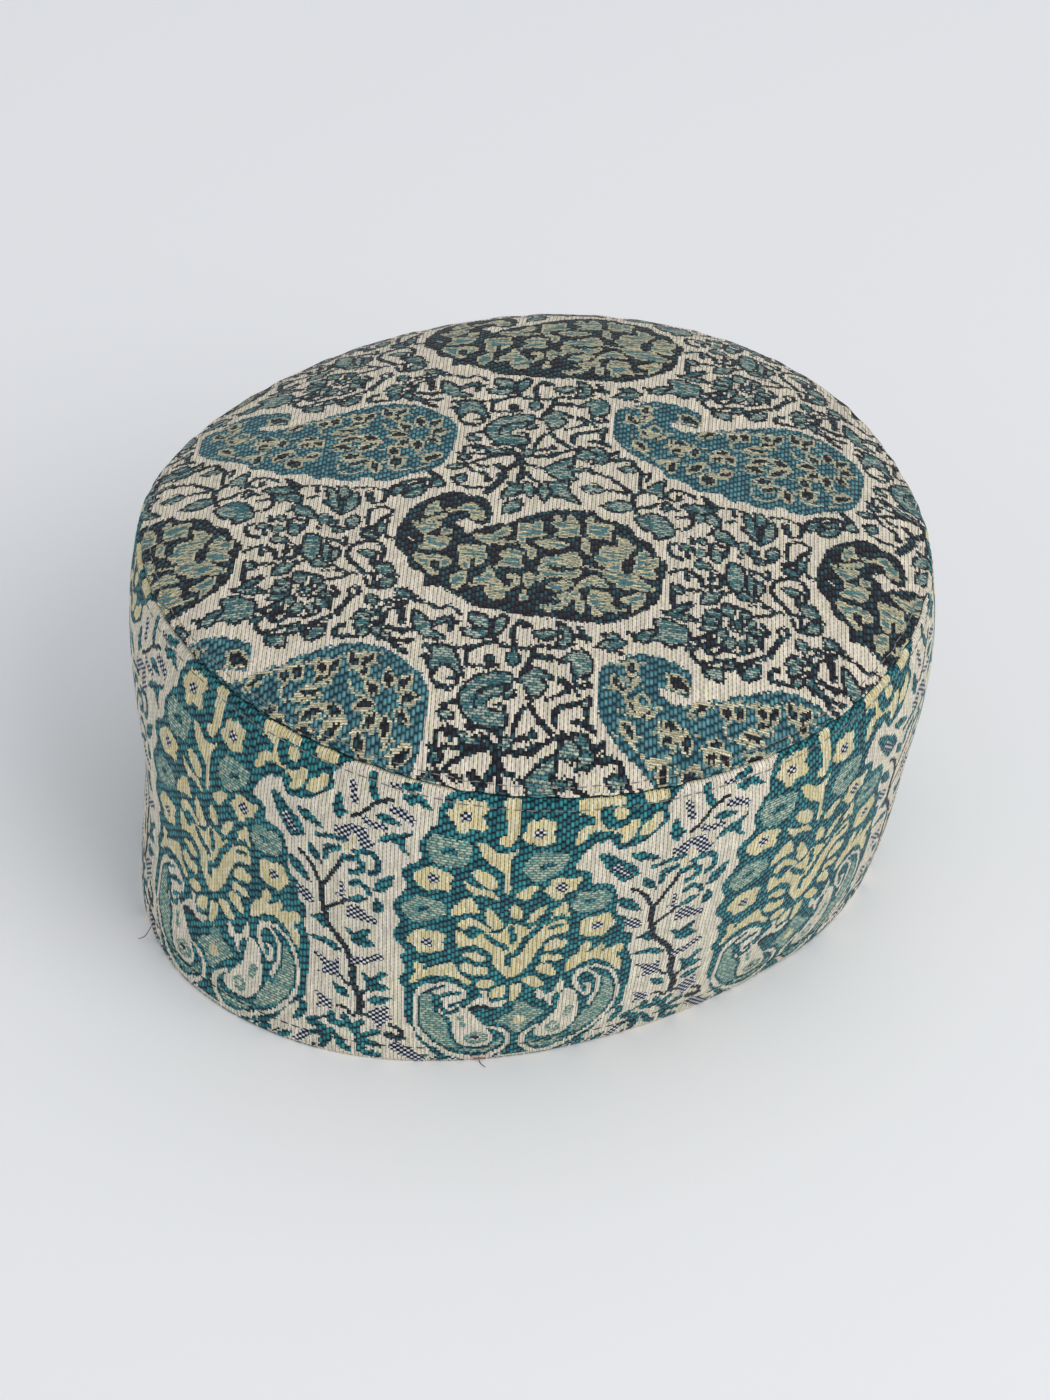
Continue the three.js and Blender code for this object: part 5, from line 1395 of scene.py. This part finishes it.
class Sheet:
    """The nodes of one material, with short calls for those it uses often."""

    def __init__(self, name):
        self.material = bpy.data.materials.new(name)
        self.material.use_nodes = True
        self.links = self.material.node_tree.links
        self.material.node_tree.nodes.clear()
        self.shader = self.node("ShaderNodeBsdfPrincipled")
        self.links.new(self.shader.outputs[0], self.node("ShaderNodeOutputMaterial").inputs[0])

    def node(self, kind, **settings):
        node = self.material.node_tree.nodes.new(kind)
        for name, value in settings.items():
            setattr(node, name, value)
        return node

    def give(self, sockets, *values):
        for socket, value in zip(sockets, values):
            if isinstance(value, Number):
                self.links.new(value.socket, socket)
            elif isinstance(value, bpy.types.NodeSocket):
                self.links.new(value, socket)
            else:
                socket.default_value = value

    def give_named(self, node, values):
        for name, value in values.items():
            self.give([node.inputs[name]], value)

    def math(self, operation, a, b=0.0, c=0.0):
        node = self.node("ShaderNodeMath", operation=operation)
        self.give(node.inputs, a, b, c)
        return Number(self, node.outputs[0])

    def mix(self, share, a, b, blend="MIX"):
        """A colour between two colours."""
        node = self.node("ShaderNodeMix", data_type="RGBA", blend_type=blend)
        self.give([node.inputs[0], *node.inputs[6:8]], share, a, b)
        return node.outputs[2]

    def between(self, share, a, b):
        """A number between two numbers."""
        node = self.node("ShaderNodeMix")
        self.give([node.inputs[0], *node.inputs[2:4]], share, a, b)
        return Number(self, node.outputs[0])

    def steps(self, position, colours):
        """One colour for each whole number from 0 up."""
        node = self.node("ShaderNodeValToRGB")
        ramp = node.color_ramp
        ramp.interpolation = "CONSTANT"
        while len(ramp.elements) < len(colours):
            ramp.elements.new(1.0)
        for k, colour in enumerate(colours):
            ramp.elements[k].position = k / len(colours)
            ramp.elements[k].color = (*colour, 1.0)
        self.give(node.inputs, (position + 0.5) / len(colours))
        return node.outputs[0]

    def numbers(self, position, values):
        """One number for each whole number from 0 up."""
        top = max(values)
        share = self.steps(position, [(value / top,) * 3 for value in values])
        return self.math("MULTIPLY", share, top)

    def threads(self):
        """The thread coordinates of the cloth: across the warp, then along it."""
        split = self.node("ShaderNodeSeparateXYZ")
        self.give(split.inputs, self.node("ShaderNodeUVMap", uv_map="threads").outputs[0])
        return Number(self, split.outputs[0]), Number(self, split.outputs[1])

    def vector(self, x, y, z=0.0):
        node = self.node("ShaderNodeCombineXYZ")
        self.give(node.inputs, x, y, z)
        return node.outputs[0]

    def shade(self, colour, tone):
        """A colour made darker or lighter all over."""
        return self.mix(1.0, colour, self.vector(tone, tone, tone), "MULTIPLY")

    def speckle(self, x, y, seed=0.0):
        """A random number from 0 to 1 for each pair of whole numbers. One y or
        seed gives other numbers than the next."""
        node = self.node("ShaderNodeTexWhiteNoise", noise_dimensions="3D")
        self.give_named(node, {"Vector": self.vector(x, y, seed)})
        return Number(self, node.outputs["Value"])

    def noise(self, place):
        node = self.node("ShaderNodeTexNoise")
        self.give_named(node, {"Vector": place})
        return node

    def clouds(self, fineness):
        node = self.noise(self.node("ShaderNodeTexCoord").outputs["Object"])
        self.give_named(node, {"Scale": fineness})
        return Number(self, node.outputs["Fac"])

    def finish(self, colour, height, roughness, sheen, relief):
        """The shader's values, with a height in shares of the relief in mm."""
        bump = self.node("ShaderNodeBump")
        self.give_named(bump, {"Strength": 1.0, "Distance": relief * MM, "Height": height})
        self.give_named(self.shader, {"Base Color": colour, "Roughness": roughness})
        self.give_named(self.shader, {"Normal": bump.outputs[0]})
        self.shader.inputs["Sheen Weight"].default_value = sheen
        self.shader.inputs["Sheen Roughness"].default_value = SHEEN_ROUGHNESS
        self.shader.inputs["Specular IOR Level"].default_value = SPECULAR
        return self.material


def bump_of(offset):
    """A round top across a thread, 1 in its middle and 0 at its edges."""
    centred = offset * 2.0 - 1.0
    return 1.0 - centred * centred


def label_under(sheet, odd_column, odd_row):
    """The label of the crossing that is shaded, out of its face's packed number."""
    packed = Number(sheet, sheet.node("ShaderNodeAttribute", attribute_name="blocks").outputs["Fac"])
    place = odd_column.scaled(LABELS - 1, 1) * odd_row.scaled(LABELS ** 2 - 1, 1)
    return ((packed + 0.01) / place).floor() % LABELS


def rib_weave(sheet, s, t):
    """Fine ridges along the warp, with dark specks in every second gap between
    them: (height, random number). Where the height is low, the gap colour is
    painted in as painted shade between the ridges."""
    across = s * (2 / RIB_PITCH)
    ridge = across.floor()
    top = bump_of(across.fract()) ** RIB_ROUND
    gap = (across + 0.5).floor()
    pair = (gap * 0.5).floor()
    speck = bump_of(pair.scaled(0.5, t / SPECK_PITCH).fract()) ** SPECK_ROUND
    depth = (1.0 - top) * (gap % 2.0 * speck.scaled(*SPECK_DEPTH) + FINE_GAP)
    run = sheet.speckle(ridge, 1.0).scaled(RIB_SHIFT, t / RIB_RUN).floor()
    return 1.0 - depth, sheet.speckle(ridge, run, 2.0)


def twill_weave(sheet, s, t):
    """Short floats along the warp that climb to the right from rib to rib."""
    across = s / RIB_PITCH
    rib = across.floor()
    climb = rib.scaled(-TWILL_CLIMB, t) / TWILL_PITCH
    climb = sheet.speckle(rib, 7.0).scaled(TWILL_SHIFT, climb)
    lot = sheet.speckle(rib, climb.floor(), 3.0)
    along = sheet.math("MINIMUM", climb.fract() / lot.scaled(*TWILL_FLOAT), 1.0)
    return (bump_of(across.fract()) * bump_of(along)) ** TWILL_ROUND, lot


def streak_weave(sheet, s, t, length, pitch):
    """Crosswise floats in broken rows, a little wavy."""
    wave = sheet.noise(sheet.vector(s * WAVE_FINENESS, t * WAVE_FINENESS)).outputs["Fac"]
    lifted = (t + Number(sheet, wave).scaled(*WAVE)) / pitch
    row = lifted.floor()
    run = s / length + row.scaled(0.5, sheet.speckle(row, 4.0) * STREAK_SHIFT)
    dash = bump_of(run.fract()) ** STREAK_ROUND[0] * bump_of(lifted.fract())
    return dash ** STREAK_ROUND[1], sheet.speckle(run.floor(), row, 5.0)


def chequer_weave(sheet, s, t):
    across, up = s / CHECK_PITCH, t / CHECK_PITCH
    column, row = across.floor(), up.floor()
    lens = bump_of(across.fract()) * bump_of(up.fract())
    return lens ** CHECK_ROUND * ((column + row) % 2.0), sheet.speckle(column, row, 6.0)


def woven(name, cloths):
    """Cloth whose faces say which yarns are up. cloths has a row for each label."""
    weaves, gap_yarn_and_shade, yarns, seconds, shares, lengths, pitches = zip(*cloths)
    sheet = Sheet(name)
    s, t = sheet.threads()
    column, row = s.floor(), t.floor()
    label = label_under(sheet, column % 2.0, row % 2.0)
    weave = sheet.numbers(label, weaves)
    streak = streak_weave(sheet, s, t, sheet.numbers(label, lengths), sheet.numbers(label, pitches))
    kinds = {TWILL: twill_weave(sheet, s, t), STREAK: streak, CHEQUER: chequer_weave(sheet, s, t)}
    height, lot = rib_weave(sheet, s, t)
    for kind, (other_height, other_lot) in kinds.items():
        chosen = sheet.math("COMPARE", weave, kind, 0.4)
        height, lot = sheet.between(chosen, height, other_height), sheet.between(chosen, lot, other_lot)
    second = sheet.math("LESS_THAN", lot, sheet.numbers(label, shares))
    yarn = sheet.mix(second, sheet.steps(label, yarns), sheet.steps(label, seconds))
    tone = (lot * 7.0).fract().scaled(*LOT_TONE)
    tone = tone * sheet.speckle(column, 3.0, 5.0).scaled(*COLUMN_TONE)
    tone = tone * sheet.clouds(CLOUD_FINENESS).scaled(*CLOUD_TONE)
    # The low parts of the weave take the gap colour: painted shade between the yarns' tops, over the yarn
    # beneath where it shows.
    colour = sheet.mix(height, sheet.steps(label, gap_yarn_and_shade), sheet.shade(yarn, tone))
    return sheet.finish(colour, height, height.scaled(*YARN_ROUGHNESS), YARN_SHEEN, YARN_RELIEF)


def reverse_cloth(name, tints):
    """The back of the cloth, where the unused yarns float in short streaks."""
    sheet = Sheet(name)
    s, t = sheet.threads()
    row = t.floor()
    shifted = sheet.speckle(0.0, row).scaled(BACK_SHIFT, s / BACK_RUN)
    pick = (sheet.speckle(shifted.floor(), row, 2.0) * (len(tints) - 0.01)).floor()
    face = (bump_of(t.fract()) * bump_of(shifted.fract())) ** BACK_ROUND
    # Between the floats, the back takes the gap colour, which is painted shade over the yarn beneath.
    colour = sheet.mix(face, BACK_GAP_YARN_AND_SHADE, sheet.steps(pick, tints))
    return sheet.finish(colour, face, BACK_ROUGHNESS, BACK_SHEEN, YARN_RELIEF)


def spun(name, colour):
    """Sewing thread, with uneven dye and a twist."""
    sheet = Sheet(name)
    shaded = sheet.shade((*colour, 1.0), sheet.clouds(SPUN_DYE).scaled(*SPUN_TONE))
    return sheet.finish(shaded, sheet.clouds(SPUN_TWIST), SPUN_ROUGHNESS, SPUN_SHEEN, SPUN_RELIEF)


# The studio

def place_camera():
    """The photo's camera, turned from its own frame round the cap's axis."""
    to_side, to_back, height = VIEW_TARGET
    back, up = math.cos(VIEW_DOWN), math.sin(VIEW_DOWN)
    spot = Vector((to_side, to_back - VIEW_DISTANCE * back, height + VIEW_DISTANCE * up))
    right, rise, ahead = Vector((1, 0, 0)), Vector((0, up, back)), Vector((0, back, -up))
    cosine, sine = math.cos(VIEW_ROLL), math.sin(VIEW_ROLL)
    image_right = cosine * right + sine * rise
    image_up = cosine * rise - sine * right
    turned = Matrix.Rotation(VIEW_TURN, 3, "Z")
    axes = Matrix([turned @ image_right, turned @ image_up, turned @ -ahead]).transposed()
    spot = (turned @ spot - Vector(MIDDLE)) * MM
    camera = bpy.data.objects.new("camera", bpy.data.cameras.new("camera"))
    camera.data.lens = VIEW_LENS
    camera.data.sensor_fit = "AUTO"
    camera.data.sensor_width = SENSOR_WIDTH
    camera.data.clip_start = NEAREST
    camera.matrix_world = Matrix.Translation(spot) @ axes.to_4x4()
    bpy.context.scene.collection.objects.link(camera)
    bpy.context.scene.camera = camera


def soft_light(name, turn, elevation, distance, size, power, colour):
    lamp = bpy.data.lights.new(name, "AREA")
    lamp.shape = "DISK"
    lamp.size = size
    lamp.energy = power
    lamp.color = colour
    light = bpy.data.objects.new(name, lamp)
    turn, elevation = math.radians(turn), math.radians(elevation)
    flat = distance * math.cos(elevation)
    light.location = (flat * math.sin(turn), -flat * math.cos(turn), distance * math.sin(elevation))
    light.rotation_euler = light.location.to_track_quat("Z", "Y").to_euler()
    bpy.context.scene.collection.objects.link(light)


def build_floor():
    mesh = bpy.data.meshes.new("floor")
    near, far = -FLOOR_HALF, FLOOR_HALF
    mesh.from_pydata([(near, near, 0), (far, near, 0), (far, far, 0), (near, far, 0)], [], [(0, 1, 2, 3)])
    sheet = Sheet("pale_floor")
    sheet.give_named(sheet.shader, {"Base Color": FLOOR_COLOUR, "Roughness": FLOOR_ROUGHNESS})
    mesh.materials.append(sheet.material)
    floor = bpy.data.objects.new("floor", mesh)
    bpy.context.scene.collection.objects.link(floor)


def build_studio():
    build_floor()
    world = bpy.data.worlds.new("studio")
    world.use_nodes = True
    background = world.node_tree.nodes["Background"]
    background.inputs[0].default_value = WORLD_COLOUR
    background.inputs[1].default_value = WORLD_STRENGTH
    bpy.context.scene.world = world
    for row in LIGHTS:
        soft_light(*row)
    bpy.context.scene.view_settings.view_transform = "Standard"


def main():
    place_camera()
    build_studio()
    back = reverse_cloth("cloth_back", BACK_COLOURS)
    band_cloths = [BAND_CLOTHS.get(label, cloth) for label, cloth in enumerate(CLOTHS)]
    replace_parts(build_band(woven("band_cloth", band_cloths), back), "side_band")
    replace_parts(build_crown(woven("crown_cloth", CLOTHS), back), "crown_panel")
    grey, brown = spun("grey_thread", GREY_THREAD), spun("brown_thread", BROWN_THREAD)
    sew("crown_stitches", crown_edge, lambda turn: STITCH_INSET + 0 * turn, "crown_cloth", grey)
    sew("band_stitches", band_face, lambda turn: seam_height(turn) - STITCH_INSET, "band_cloth", grey)
    sew("hem_stitches", band_face, lambda turn: HEM_STITCH + 0 * turn, "band_cloth", brown)
    loose_thread("red_lint", LINT_SPOTS, spun("red_lint", RED_LINT))
    loose_thread("thread_end", THREAD_END_SPOTS, brown)
    loose_thread("hanging_thread", HANGING_SPOTS, brown)


main()
